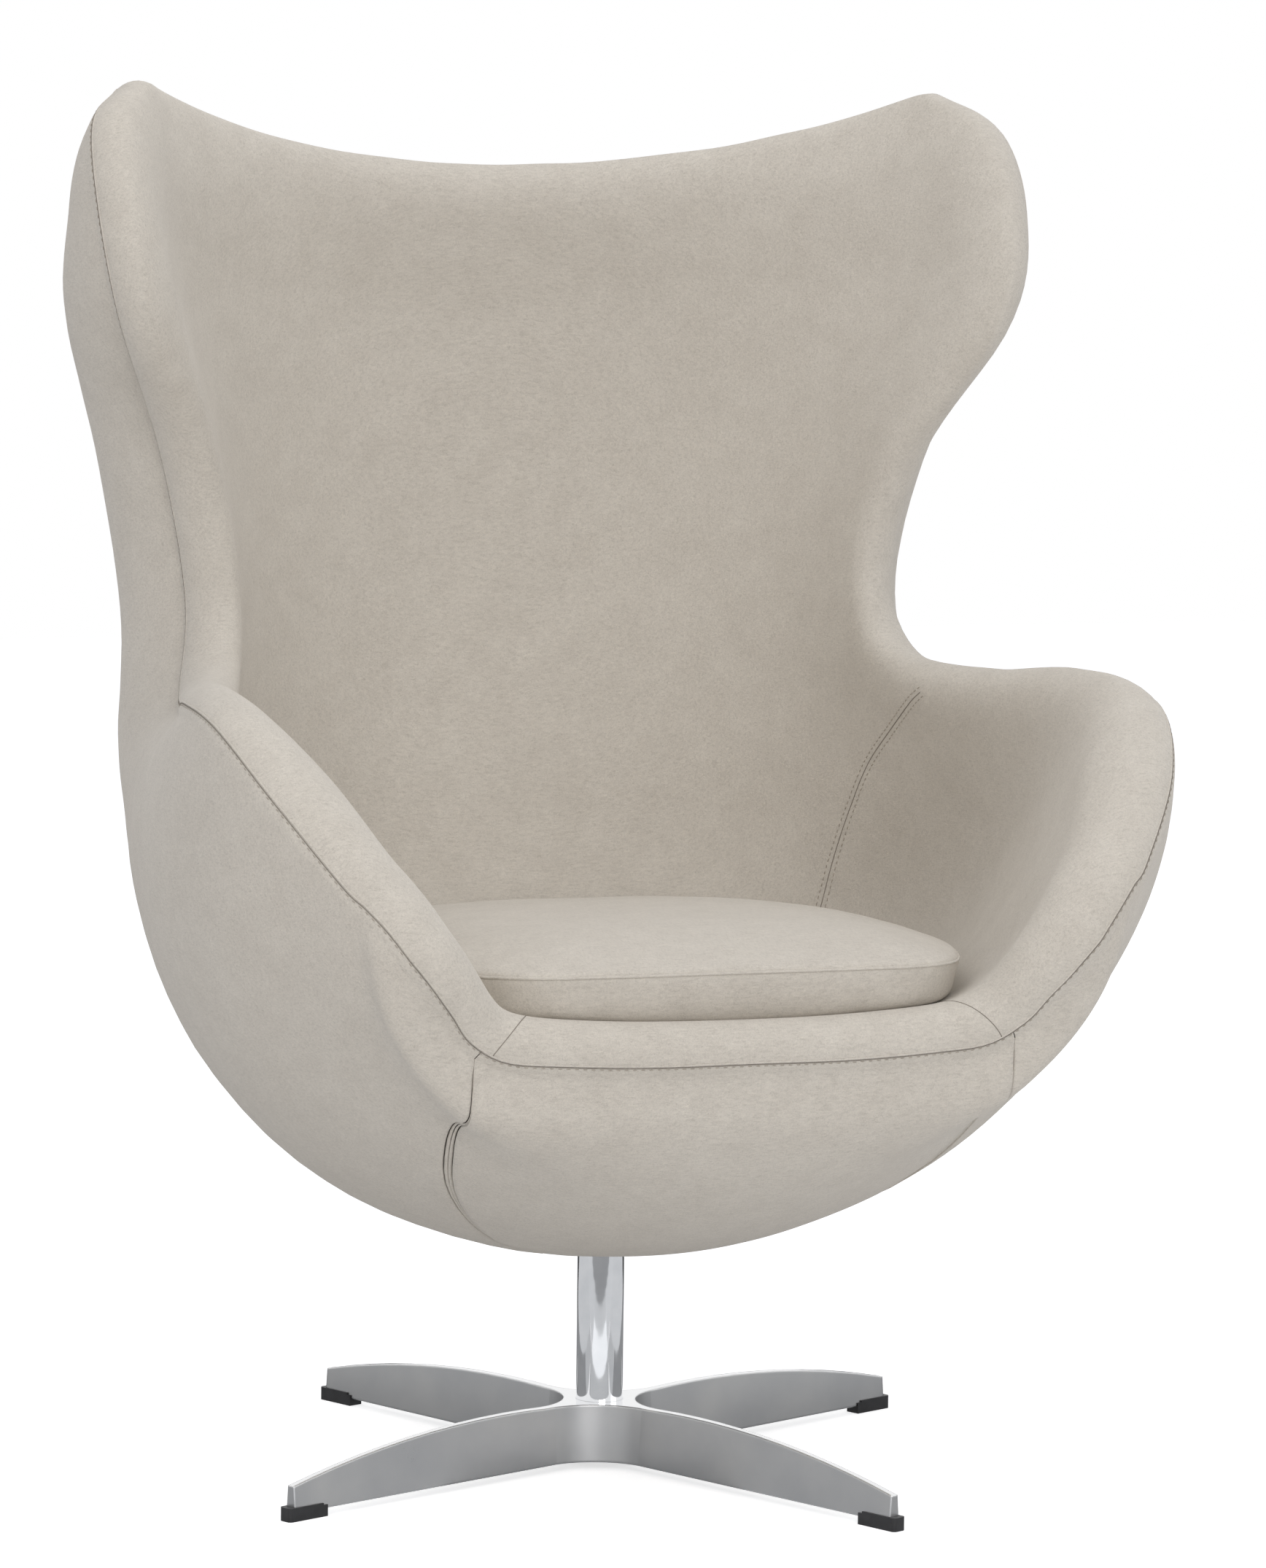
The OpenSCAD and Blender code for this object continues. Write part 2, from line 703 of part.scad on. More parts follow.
module plate_screws() {
    color(steel) on_axis() at_screws() {
        translate([0, 0, plate_z - 4]) cylinder(r = screw_r * 1.6, h = 4);
        translate([0, 0, plate_z - 1]) cylinder(r = screw_r, h = plate_t + screw_len);
    }
}

insert_r = screw_r + 3;
insert_z = ceiling_z + 0.5;
module screw_inserts() {
    color(steel) on_axis() at_screws()
        translate([0, 0, insert_z]) ring(insert_r, screw_r + seat_gap, screw_len);
}

module recess_cut(r) {
    cylinder(r = r, h = ceiling_z, $fn = 120);
}

module moulded_shell() {
    color(foam) on_axis() difference() {
        egg_body(cover_t + bond_gap);
        recess_cut(recess_r);
        at_screws() translate([0, 0, ceiling_z - 1]) cylinder(r = insert_r + seat_gap, h = screw_len + 2);
    }
}

// Upholstery of the seat and back, wrapped over the rim to the seam
module inner_cover() {
    function ring_s(i) = seam_end * i / rim_steps;
    face_side = concat(
        flat(inner_grid),
        flat([for (i = [1 : rim_steps]) rim_ring(ring_s(i), 0)])
    );
    back_side = concat(
        flat(inset_grid(inner_grid, outer_grid, cover_t)),
        flat([for (i = [1 : rim_steps]) rim_ring(ring_s(i), cover_t)])
    );
    shift = len(face_side);
    function loops(start) = concat(
        [grid_loop(start)],
        [for (i = [0 : rim_steps - 1]) ring_loop(start + cells + i * edges)]
    );
    last = rim_steps;
    color(felt) on_axis() polyhedron(concat(face_side, back_side), concat(
        grid_faces(0),
        chain_faces(loops(0)),
        band_faces(loops(0)[last], loops(shift)[last]),
        reversed(grid_faces(shift)),
        reversed(chain_faces(loops(shift)))
    ));
}

module outer_skin() {
    points = concat(flat(outer_grid), flat(inset_grid(outer_grid, inner_grid, cover_t)));
    polyhedron(points, concat(
        reversed(grid_faces(0)),
        grid_faces(cells),
        band_faces(grid_loop(cells), grid_loop(0))
    ));
}

// Plan outline of the front apron, widened by a share of the dart's gap
dart_steps = 24;
dart_span = len(dart_path) - 1;
function dart_point(i, share) =
    let (t = dart_span * i / dart_steps,
         p = shell_fit * spline(dart_path, t),
         open = 0.4 + dart_gap * pow(sin(180 * min(1, max(0, (t - 0.6) / 3.6))), 2))
    p + share * open * [1, 0.35];
function dart_side(share) = [for (i = [0 : dart_steps]) dart_point(i, share)];
module apron_zone(share) {
    side = dart_side(share);
    linear_extrude(shell_z + 0.4 * shell_h) polygon(concat(
        side,
        [for (i = [dart_steps : -1 : 0]) [-side[i][0], side[i][1]]]
    ));
}

module outer_cover() {
    color(felt) on_axis() difference() {
        outer_skin();
        recess_cut(recess_r);
        apron_zone(1);
    }
}

module front_apron() {
    color(felt) on_axis() difference() {
        intersection() {
            outer_skin();
            apron_zone(0);
        }
        recess_cut(recess_r);
    }
}

// Black ring that closes the edge of the recess: a flange under the skin, a collar inside
trim_flange_t = 2;
trim_flange_w = 3;
trim_collar_h = 14;
trim_collar_t = 2.4;
trim_play = 0.6;

module recess_trim() {
    collar_r = recess_r - trim_play;
    color(black) on_axis()
        translate([0, 0, shell_z + recess_edge_h * shell_fit - trim_flange_t])
            rotate([-recess_edge_slope, 0, 0])
                difference() {
                    union() {
                        cylinder(r = recess_r + trim_flange_w, h = trim_flange_t, $fn = 120);
                        cylinder(r = collar_r, h = trim_flange_t + trim_collar_h, $fn = 120);
                    }
                    translate([0, 0, -1])
                        cylinder(r = collar_r - trim_collar_t, h = 3 * trim_collar_h, $fn = 120);
                }
}

// ---- Seat cushion ----------------------------------------------------------------------------
// Right half of the cushion's outline at its seam, in plan, from the front middle to the back
cushion_half = [[0, -303], [90, -303], [148, -297], [183, -266], [214, -190], [232, -100],
    [236, -10], [220, 70], [184, 136], [110, 176], [0, 187]];
cushion_steps = 20;
cushion_side = [for (i = [0 : cushion_steps])
    shell_fit * spline(cushion_half, (len(cushion_half) - 1) * i / cushion_steps)];
cushion_outline = concat(
    cushion_side,
    [for (i = [cushion_steps - 1 : -1 : 1]) [-cushion_side[i][0], cushion_side[i][1]]]
);
cushion_mid_y = -50 * shell_fit;
// The foot of the cushion's band meets the seat this far above the front lip
foot_over_lip = 11;
cushion_seam_z = shell_z + (inner_front[0][2] + foot_over_lip) * shell_fit + cushion_play + cushion_band;
// Rings up the cushion: [share of the outline, inset, height above or below the seam]
cushion_rings = [
    [0.45, 0, -cushion_band], [0.80, 0, -cushion_band], [1, cushion_draw + 7, -cushion_band],
    [1, cushion_draw, -cushion_band + 4], [1, cushion_draw - 4, -cushion_band / 2],
    [1, 2, -4], [1, 0, 0], [1, 3, 4], [0.93, 0, cushion_crown * 0.42],
    [0.78, 0, cushion_crown * 0.72], [0.55, 0, cushion_crown * 0.92], [0.28, 0, cushion_crown]
];
function cushion_z(y) = cushion_seam_z - tan(cushion_slope) * (y - shell_fit * cushion_half[0][1]);
function cushion_point(p, ring) =
    let (c = [0, cushion_mid_y],
         d = p - c,
         q = c + d * ring[0] - unit(d) * ring[1])
    [q[0], q[1], cushion_z(q[1]) + ring[2]];

module seat_cushion() {
    count = len(cushion_outline);
    tiers = len(cushion_rings);
    points = concat(
        flat([for (r = cushion_rings) [for (p = cushion_outline) cushion_point(p, r)]]),
        [[0, cushion_mid_y, cushion_z(cushion_mid_y) - cushion_band],
         [0, cushion_mid_y, cushion_z(cushion_mid_y) + cushion_crown]]
    );
    low = count * tiers;
    sides = [
        for (i = [0 : tiers - 2]) for (k = [0 : count - 1])
            let (n = (k + 1) % count,
                 a = i * count + k,
                 b = i * count + n,
                 c = a + count,
                 d = b + count)
            for (f = [[a, c, b], [b, c, d]]) f
    ];
    caps = [
        for (k = [0 : count - 1])
            let (n = (k + 1) % count,
                 top = (tiers - 1) * count)
            for (f = [[low, k, n], [low + 1, top + n, top + k]]) f
    ];
    color(felt) on_axis() polyhedron(points, concat(sides, caps));
}

star_base();
foot_glide(0);  // foot_glide_1
foot_glide(1);  // foot_glide_2
foot_glide(2);  // foot_glide_3
foot_glide(3);  // foot_glide_4
base_bolt();
base_washer();
column_plug();
column_tube();
lower_bush();
upper_bush();
lower_race();
ball_cage();
bearing_balls();
upper_race();
spindle();
retaining_ring();
tilt_housing();
tilt_pin();
pin_clips();
spring_cup();
return_spring();
tension_bolt();
tension_knob();
mounting_plate();
plate_screws();
screw_inserts();
moulded_shell();
inner_cover();
outer_cover();
front_apron();
recess_trim();
seat_cushion();
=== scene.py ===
"""Looks of the swivel lounge chair: felt upholstery with seams, stitching and a loose cushion,
satin casting, chromed column. Metres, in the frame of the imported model."""
import json
import math

import bmesh
import bpy
import numpy as np
from mathutils import Matrix, Vector, noise
from mathutils.bvhtree import BVHTree

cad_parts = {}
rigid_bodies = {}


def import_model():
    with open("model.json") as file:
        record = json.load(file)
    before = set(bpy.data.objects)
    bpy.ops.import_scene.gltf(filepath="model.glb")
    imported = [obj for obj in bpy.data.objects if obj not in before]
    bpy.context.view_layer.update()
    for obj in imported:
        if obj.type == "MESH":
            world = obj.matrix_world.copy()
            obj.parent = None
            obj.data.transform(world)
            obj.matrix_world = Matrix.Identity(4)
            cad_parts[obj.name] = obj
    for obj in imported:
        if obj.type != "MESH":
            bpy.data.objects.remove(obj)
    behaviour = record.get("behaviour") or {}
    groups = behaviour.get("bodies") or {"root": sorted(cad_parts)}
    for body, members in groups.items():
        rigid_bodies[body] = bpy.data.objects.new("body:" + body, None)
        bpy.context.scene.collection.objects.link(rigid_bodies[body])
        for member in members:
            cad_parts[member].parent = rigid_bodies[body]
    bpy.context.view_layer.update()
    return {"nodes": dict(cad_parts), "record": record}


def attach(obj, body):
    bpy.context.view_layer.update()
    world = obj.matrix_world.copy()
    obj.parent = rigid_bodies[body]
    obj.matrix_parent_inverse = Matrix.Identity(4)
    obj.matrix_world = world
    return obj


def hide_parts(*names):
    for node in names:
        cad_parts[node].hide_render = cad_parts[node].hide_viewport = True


for leftover in list(bpy.data.objects):
    bpy.data.objects.remove(leftover, do_unlink=True)
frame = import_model()

# The swivel axis stands behind the middle of the footprint by this much
AXIS_Y = next(j["pos_m"][1] for j in frame["record"]["behaviour"]["joints"] if j["name"] == "swivel")
SHELL_Z = 0.165


# ---------------------------------------------------------------- materials
class Graph:
    """Short cuts over a node tree."""

    def __init__(self, tree):
        self.nodes, self.link = tree.nodes, tree.links.new

    def node(self, kind, **values):
        n = self.nodes.new("ShaderNode" + kind)
        for key, value in values.items():
            if key in n.inputs:
                n.inputs[key].default_value = value
            else:
                setattr(n, key, value)
        return n

    def feed(self, socket, v):
        """Links an output to an input, or gives the input a value."""
        if hasattr(v, "links"):
            self.link(v, socket)
        else:
            socket.default_value = (*v, 1.0) if isinstance(v, tuple) else v

    def join(self, kind, *feeds, **values):
        n = self.node(kind, **values)
        for k, v in enumerate(feeds):
            self.feed(n.inputs[k], v)
        return n.outputs[0]


class Mat(Graph):
    """A material around one Principled shader."""

    def __init__(self, name):
        self.mat = bpy.data.materials.new(name)
        self.mat.use_nodes = True
        super().__init__(self.mat.node_tree)
        self.bsdf = self.nodes["Principled BSDF"]
        self.coord = self.node("TexCoord").outputs["Object"]

    def put(self, **values):
        for key, value in values.items():
            self.bsdf.inputs[key.replace("_", " ")].default_value = value

    def noise(self, scale, detail=4.0, rough=0.6, stretch=None, distortion=0.0):
        n = self.node("TexNoise", Scale=scale, Detail=detail, Roughness=rough, Distortion=distortion)
        src = self.coord
        if stretch:
            src = self.join("Mapping", src, Scale=stretch)
        self.link(src, n.inputs["Vector"])
        return n.outputs["Fac"]

    def ramp(self, fac, stops):
        r = self.node("ValToRGB")
        e = r.color_ramp.elements
        while len(e) < len(stops):
            e.new(0.5)
        for k, (pos, col) in enumerate(stops):
            e[k].position = pos
            e[k].color = (*col, 1.0) if len(col) == 3 else col
        self.link(fac, r.inputs["Fac"])
        return r.outputs["Color"]

    def grey(self, fac, lo, hi, a=0.0, b=1.0):
        m = self.node("MapRange", **{"From Min": a, "From Max": b, "To Min": lo, "To Max": hi})
        self.link(fac, m.inputs["Value"])
        return m.outputs["Result"]

    def mix(self, a, b, fac, mode="MIX"):
        m = self.node("Mix", data_type="RGBA", blend_type=mode)
        for k, v in ((6, a), (7, b), (0, fac)):
            self.feed(m.inputs[k], v)
        return m.outputs[2]

    def math(self, op, a, b=0.0):
        return self.join("Math", a, b, operation=op)

    def surface(self, colour, rough=None):
        self.link(colour, self.bsdf.inputs["Base Color"])
        if rough is not None:
            self.link(rough, self.bsdf.inputs["Roughness"])

    def bump(self, height, distance, strength=1.0, after=None):
        b = self.node("Bump", Distance=distance, Strength=strength)
        self.link(height, b.inputs["Height"])
        if after:
            self.link(after, b.inputs["Normal"])
        self.link(b.outputs["Normal"], self.bsdf.inputs["Normal"])
        return b.outputs["Normal"]


def felt_material(name):
    """Brushed wool felt: heathered fibres, soft mottling and a short pile."""
    m = Mat(name)
    fine = m.noise(2600.0, 3.0, 0.7)
    fibre_a = m.noise(900.0, 4.0, 0.7, stretch=(1.0, 0.18, 1.0), distortion=0.6)
    fibre_b = m.noise(900.0, 4.0, 0.7, stretch=(0.18, 1.0, 0.5), distortion=0.6)
    cloudy = m.noise(38.0, 5.0, 0.62)
    broad = m.noise(6.0, 3.0, 0.5)
    base = m.ramp(cloudy, [(0.30, (0.540, 0.500, 0.440)), (0.72, (0.585, 0.545, 0.482))])
    fleck = m.ramp(m.math("ADD", m.math("MULTIPLY", fibre_a, 0.5), m.math("MULTIPLY", fibre_b, 0.5)),
                   [(0.36, (0.74, 0.73, 0.72)), (0.50, (0.99, 0.99, 0.99)), (0.64, (1.16, 1.155, 1.14))])
    col = m.mix(base, fleck, 0.70, "MULTIPLY")
    col = m.mix(col, m.ramp(fine, [(0.3, (0.80, 0.79, 0.78)), (0.7, (1.16, 1.16, 1.15))]), 0.55, "MULTIPLY")
    col = m.mix(col, m.ramp(broad, [(0.3, (0.97, 0.965, 0.96)), (0.7, (1.02, 1.02, 1.02))]), 0.7, "MULTIPLY")
    m.surface(col, m.grey(cloudy, 0.86, 0.97))
    m.put(Specular_IOR_Level=0.18, Sheen_Weight=0.35, Sheen_Roughness=0.5,
          Sheen_Tint=(0.98, 0.94, 0.88, 1.0))
    height = m.math("ADD", m.math("MULTIPLY", fine, 0.35),
                    m.math("ADD", m.math("MULTIPLY", fibre_a, 0.5), m.math("MULTIPLY", fibre_b, 0.5)))
    first = m.bump(height, 0.0011, 0.55)
    m.bump(cloudy, 0.004, 0.22, after=first)
    return m.mat


def thread_material():
    m = Mat("felt_thread")
    twist = m.node("TexWave", Scale=900.0, Distortion=1.0)
    m.link(m.coord, twist.inputs["Vector"])
    m.surface(m.ramp(twist.outputs["Fac"], [(0.2, (0.36, 0.31, 0.25)), (0.8, (0.50, 0.45, 0.38))]))
    m.put(Roughness=0.75, Specular_IOR_Level=0.3)
    m.bump(twist.outputs["Fac"], 0.0004, 0.5)
    return m.mat


# Dark colour that paints the shade inside narrow seam grooves
def seam_shadow_material():
    m = Mat("seam_groove_shade")
    n = m.noise(500.0)
    m.surface(m.ramp(n, [(0.3, (0.21, 0.185, 0.155)), (0.7, (0.29, 0.26, 0.225))]))
    m.put(Roughness=0.95, Specular_IOR_Level=0.1)
    m.bump(n, 0.0005, 0.4)
    return m.mat


def casting_material():
    """Satin aluminium casting whose edges are buffed bright; a painted highlight gives the faces that look up
    the same lighter, glossier colour.
    """
    m = Mat("polished_casting")
    haze = m.noise(16.0, 4.0, 0.55)
    fine = m.noise(900.0, 2.0, 0.5)
    body = m.ramp(haze, [(0.10, (0.44, 0.446, 0.46)), (0.50, (0.50, 0.502, 0.506)),
                         (0.90, (0.57, 0.565, 0.555))])
    bevel = m.node("Bevel", samples=6, Radius=0.0022)
    geo = m.node("NewGeometry")
    dot = m.node("VectorMath", operation="DOT_PRODUCT")
    m.link(bevel.outputs["Normal"], dot.inputs[0])
    m.link(geo.outputs["Normal"], dot.inputs[1])
    edge = m.grey(dot.outputs["Value"], 1.0, 0.0, 0.84, 0.975)
    # Painted highlight: faces that look up are mixed towards the lighter, glossier colour of the buffed edges
    up = m.node("SeparateXYZ")
    m.link(geo.outputs["True Normal"], up.inputs[0])
    top = m.grey(up.outputs["Z"], 0.0, 1.0, 0.55, 0.85)
    bright = m.math("MAXIMUM", edge, top)
    m.put(Metallic=1.0)
    satin = m.math("ADD", m.grey(haze, 0.27, 0.33, 0.1, 0.9), m.grey(fine, -0.02, 0.02))
    m.surface(m.mix(body, (0.84, 0.845, 0.85), bright), m.mix(satin, (0.12, 0.12, 0.12), bright))
    m.bump(fine, 0.0001, 0.12, after=bevel.outputs["Normal"])
    return m.mat


def chrome_material():
    m = Mat("bright_chrome")
    haze = m.noise(70.0, 3.0, 0.5)
    m.surface(m.ramp(haze, [(0.3, (0.83, 0.84, 0.86)), (0.7, (0.90, 0.905, 0.92))]),
              m.grey(haze, 0.035, 0.075))
    m.put(Metallic=1.0)
    m.bump(m.noise(30.0, 2.0), 0.0008, 0.12)
    return m.mat


def steel_material():
    m = Mat("turned_steel")
    rings = m.noise(600.0, 3.0, 0.6, stretch=(0.2, 0.2, 1.0))
    spots = m.noise(90.0, 4.0)
    m.surface(m.ramp(spots, [(0.3, (0.495,) * 3), (0.7, (0.594,) * 3)]), m.grey(rings, 0.25, 0.42))
    m.put(Metallic=1.0)
    m.bump(rings, 0.0003, 0.3)
    return m.mat


def coat_material():
    m = Mat("black_powder_coat")
    grain = m.noise(1400.0, 3.0, 0.6)
    m.surface(m.ramp(grain, [(0.3, (0.018, 0.018, 0.019)), (0.7, (0.032, 0.032, 0.034))]),
              m.grey(grain, 0.38, 0.58))
    m.bump(grain, 0.0004, 0.5)
    return m.mat


def plastic_material(name, lo, hi, rough=(0.38, 0.55)):
    m = Mat(name)
    grain = m.noise(1800.0, 3.0, 0.6)
    worn = m.noise(60.0, 4.0)
    m.surface(m.ramp(worn, [(0.3, lo), (0.7, hi)]), m.grey(grain, *rough))
    m.put(Specular_IOR_Level=0.45)
    m.bump(grain, 0.0002, 0.4)
    return m.mat


FELT = felt_material("wool_felt")
THREAD = thread_material()
GROOVE_SHADE = seam_shadow_material()
CASTING = casting_material()
CHROME = chrome_material()
STEEL = steel_material()
COAT = coat_material()
BLACK = plastic_material("black_moulding", (0.012, 0.012, 0.013), (0.028, 0.028, 0.030))
NYLON = plastic_material("natural_nylon", (0.72, 0.70, 0.63), (0.82, 0.80, 0.74))
FOAM = plastic_material("moulded_foam", (0.10, 0.092, 0.08), (0.15, 0.14, 0.12), (0.85, 0.95))

NODE_MATERIAL = {
    "star_base": CASTING, "column_tube": CHROME, "tilt_pin": CHROME, "moulded_shell": FOAM,
    "recess_trim": BLACK, "tension_knob": BLACK, "tilt_housing": COAT, "mounting_plate": COAT,
    "spring_cup": COAT, "lower_bush": NYLON, "upper_bush": NYLON, "ball_cage": NYLON,
}
for name, ob in frame["nodes"].items():
    mat = NODE_MATERIAL.get(name, BLACK if name.startswith("foot_glide") else STEEL)
    for slot in ob.material_slots:
        slot.material = mat
    if not ob.material_slots:
        ob.data.materials.append(mat)


# ---------------------------------------------------------------- the shell's two skins
# Front edge of each skin from the middle to the arm, then arches up the back, in millimetres:
# [middle y, middle z, edge x, edge y, edge z, wrap angle, flatness]
OUTER_FRONT = [[0, -325, 185], [74, -324, 185], [140, -323, 188], [186, -320, 193], [216, -324, 210],
               [234, -333, 233], [247, -340, 249], [258, -343, 262], [266, -344, 271]]
OUTER = [[-308, 131, 282, -340, 292, 92, 1.5], [-246, 69, 296, -332, 308, 82, 1],
         [-142, 23, 310, -322, 323, 94, 1], [0, 1, 348, -278, 379, 104, 1],
         [140, 19, 370, -210, 423, 104, 1], [262, 85, 366, -118, 431, 103, 1],
         [345, 195, 340, -10, 421, 106, 1], [390, 325, 308, 110, 425, 112, 1],
         [400, 460, 290, 162, 495, 115, 1], [392, 595, 314, 152, 615, 114, 1],
         [372, 695, 364, 90, 720, 108, 1], [350, 750, 378, 100, 795, 101, 1],
         [328, 785, 374, 136, 853, 92, 1], [305, 809, 346, 178, 877, 50, 1]]
INNER_FRONT = [[0, -288, 213], [62, -288, 214], [112, -287, 217], [150, -286, 221], [178, -285, 227],
               [196, -291, 243], [209, -299, 263], [220, -302, 280], [228, -302, 291]]
INNER = [[-230, 206, 240, -296, 310, 86, 2.0], [-150, 201, 251, -288, 326, 90, 2.8],
         [-60, 196, 262, -280, 341, 94, 3.2], [30, 191, 292, -234, 393, 96, 3.2],
         [110, 187, 314, -172, 423, 96, 3.0], [184, 200, 312, -90, 427, 95, 2.6],
         [244, 264, 288, 0, 421, 94, 1.8], [282, 360, 258, 105, 433, 94, 1.2],
         [312, 475, 240, 145, 505, 94, 1], [320, 595, 262, 135, 610, 94, 1],
         [312, 685, 310, 80, 715, 90, 1], [300, 740, 328, 90, 780, 84, 1],
         [287, 780, 324, 126, 835, 74, 1], [272, 805, 308, 168, 859, 46, 1]]
BULGE = 0.024  # how far the padded rim stands past the skins' edges
BEND = math.radians(80)
SPAN = 14      # stations after the front edge
HALF = 8       # columns of the CAD grid from the middle to one edge


def blend_four(a, b, c, d, f):
    """Catmull-Rom between b and c."""
    return 0.5 * (2 * b + (c - a) * f + (2 * a - 5 * b + 4 * c - d) * f ** 2
                  + (3 * b - a - 3 * c + d) * f ** 3)


def spline(table, t):
    """Smooth curve through the rows of a table, at an array of places t."""
    p = np.asarray(table, float)
    last = len(p) - 1
    t = np.asarray(t, float)
    i = np.clip(np.floor(t).astype(int), 0, last - 1)
    f = (t - i)[..., None]
    b, c = p[i], p[i + 1]
    a = np.where((i > 0)[..., None], p[np.maximum(i - 1, 0)], 2 * b - c)
    d = np.where((i + 2 <= last)[..., None], p[np.minimum(i + 2, last)], 2 * c - b)
    return blend_four(a, b, c, d, f)


def skin(front, stations, t, c):
    """Points of a skin at station places t (0 to 14) and column places c (-8 to 8), in metres."""
    t, c = np.broadcast_arrays(np.asarray(t, float), np.asarray(c, float))
    v = np.sin(BEND * c / HALF) / math.sin(BEND)
    mirrored = [[-p[0], p[1], p[2]] for p in front[:0:-1]] + front
    layers = [spline(mirrored, c + HALF)]
    for s in stations:
        w = math.radians(s[5])
        out = np.sin(v * w) / math.sin(w)
        deep = ((1 - np.cos(v * w)) / (1 - math.cos(w))) ** s[6]
        layers.append(np.stack([s[2] * out, s[0] + (s[3] - s[0]) * deep, s[1] + (s[4] - s[1]) * deep], -1))
    table = np.stack(layers)                      # stations, ..., xyz
    last = len(stations)
    i = np.clip(np.floor(t).astype(int), 0, last - 1)
    f = (t - i)[..., None]

    def take(k):
        return np.take_along_axis(table, np.broadcast_to(k[None, ..., None], (1, *t.shape, 3)), 0)[0]
    b, e = take(i), take(i + 1)
    a = np.where((i > 0)[..., None], take(np.maximum(i - 1, 0)), 2 * b - e)
    d = np.where((i + 2 <= last)[..., None], take(np.minimum(i + 2, last)), 2 * e - b)
    return blend_four(a, b, e, d, f) / 1000 + [0, AXIS_Y, SHELL_Z]


def outer_at(t, c):
    return skin(OUTER_FRONT, OUTER, t, c)


def inner_at(t, c):
    return skin(INNER_FRONT, INNER, t, c)


def unit(v):
    return v / np.maximum(np.linalg.norm(v, axis=-1, keepdims=True), 1e-12)


def normals(at, t, c):
    """Unit normals of a skin, all on one side of it."""
    e = 0.02
    du = at(np.clip(t + e, 0, SPAN), c) - at(np.clip(t - e, 0, SPAN), c)
    dv = at(t, np.clip(c + e, -HALF, HALF)) - at(t, np.clip(c - e, -HALF, HALF))
    return unit(np.cross(du, dv))


# ---------------------------------------------------------------- mesh helpers
def piece(name, verts, faces, mat, body, smooth=True):
    mesh = bpy.data.meshes.new(name)
    mesh.from_pydata([tuple(map(float, v)) for v in verts], [], [tuple(int(i) for i in f) for f in faces])
    mesh.validate()
    if smooth:
        mesh.polygons.foreach_set("use_smooth", [True] * len(mesh.polygons))
    mesh.materials.append(mat)
    ob = bpy.data.objects.new(name, mesh)
    bpy.context.scene.collection.objects.link(ob)
    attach(ob, body)
    return ob


def face_out(ob, at=None, direction=None):
    """One winding over the whole mesh; the face nearest to at looks along direction."""
    bm = bmesh.new()
    bm.from_mesh(ob.data)
    bmesh.ops.recalc_face_normals(bm, faces=bm.faces)
    if at is not None:
        spot = Vector(at)
        near = min(bm.faces, key=lambda f: (f.calc_center_median() - spot).length_squared)
        near.normal_update()
        if near.normal.dot(Vector(direction)) < 0:
            bmesh.ops.reverse_faces(bm, faces=bm.faces)
    bm.to_mesh(ob.data)
    bm.free()
    ob.data.update()


def quads(rows, cols):
    """Faces of a grid of points, row by row."""
    starts = [i * cols + j for i in range(rows - 1) for j in range(cols - 1)]
    return [(a, a + 1, a + cols + 1, a + cols) for a in starts]


def closed_path(points):
    return np.vstack([points, points[:1]])


def tube_mesh(paths, radius, sides=8, closed=False, up=None):
    """One mesh of round tubes along polylines of points; up gives each path's outward normals."""
    verts, faces = [], []
    for n, path in enumerate(paths):
        path = np.asarray(path, float)
        if closed:
            tangent = unit(np.roll(path, -1, 0) - np.roll(path, 1, 0))
        else:
            tangent = unit(np.gradient(path, axis=0))
        if up is not None:
            n1 = np.asarray(up[n], float)
            n1 = unit(n1 - np.sum(n1 * tangent, -1, keepdims=True) * tangent)
        else:
            ref = np.array([0, 0, 1.0])
            n1 = unit(np.cross(np.cross(tangent, ref + 1e-6), tangent))
        n2 = np.cross(tangent, n1)
        thick = radius[n] if isinstance(radius, list) else np.full(len(path), radius)
        start = len(verts)
        for k in range(len(path)):
            for s in range(sides):
                a = 2 * math.pi * s / sides
                verts.append(path[k] + thick[k] * (math.cos(a) * n1[k] + math.sin(a) * n2[k]))
        count = len(path)
        for k in range(count if closed else count - 1):
            m = (k + 1) % count
            for s in range(sides):
                q = (s + 1) % sides
                faces.append((start + k * sides + s, start + k * sides + q,
                              start + m * sides + q, start + m * sides + s))
        if not closed:
            faces.append(tuple(start + s for s in reversed(range(sides))))
            faces.append(tuple(start + (count - 1) * sides + s for s in range(sides)))
    return verts, faces


def resample(path, step, closed=False, extra=()):
    """Even spacing along a polyline; extra arrays are carried along."""
    path = np.asarray(path, float)
    if closed:
        path = closed_path(path)
        extra = [closed_path(e) for e in extra]
    d = np.concatenate([[0], np.cumsum(np.linalg.norm(np.diff(path, axis=0), axis=1))])
    n = max(2, int(round(d[-1] / step)))
    s = np.linspace(0, d[-1], n + 1)
    if closed:
        s = s[:-1]
    out = [np.stack([np.interp(s, d, a[:, k]) for k in range(3)], -1) for a in (path, *extra)]
    return out[0] if not extra else out


def stitch_paths(path, up, pitch, length, lift):
    """Short threads that dip into the cloth at both ends."""
    pts, nrm = resample(path, pitch, extra=[up])
    tangent = unit(np.gradient(pts, axis=0))
    runs, ups = [], []
    for p, n, t in zip(pts[:-1], unit(nrm)[:-1], tangent[:-1]):
        s = np.linspace(-0.5, 0.5, 5)
        runs.append([p + t * length * k + n * (lift - 0.0012 * (2 * abs(k)) ** 3) for k in s])
        ups.append([n] * 5)
    return runs, ups


# ---------------------------------------------------------------- rim
FINE_ROWS, FINE_HALF = 112, 36      # rows and half the columns of the fine skins


def loop_places(rows, half):
    """(t, c) round the edge of a skin as one closed loop, from the left front corner."""
    t = np.linspace(0, SPAN, rows + 1)
    c = np.linspace(-HALF, HALF, 2 * half + 1)
    return np.array([(0, x) for x in c[:-1]] + [(x, HALF) for x in t[:-1]]
                    + [(SPAN, x) for x in c[:0:-1]] + [(x, -HALF) for x in t[:0:-1]])


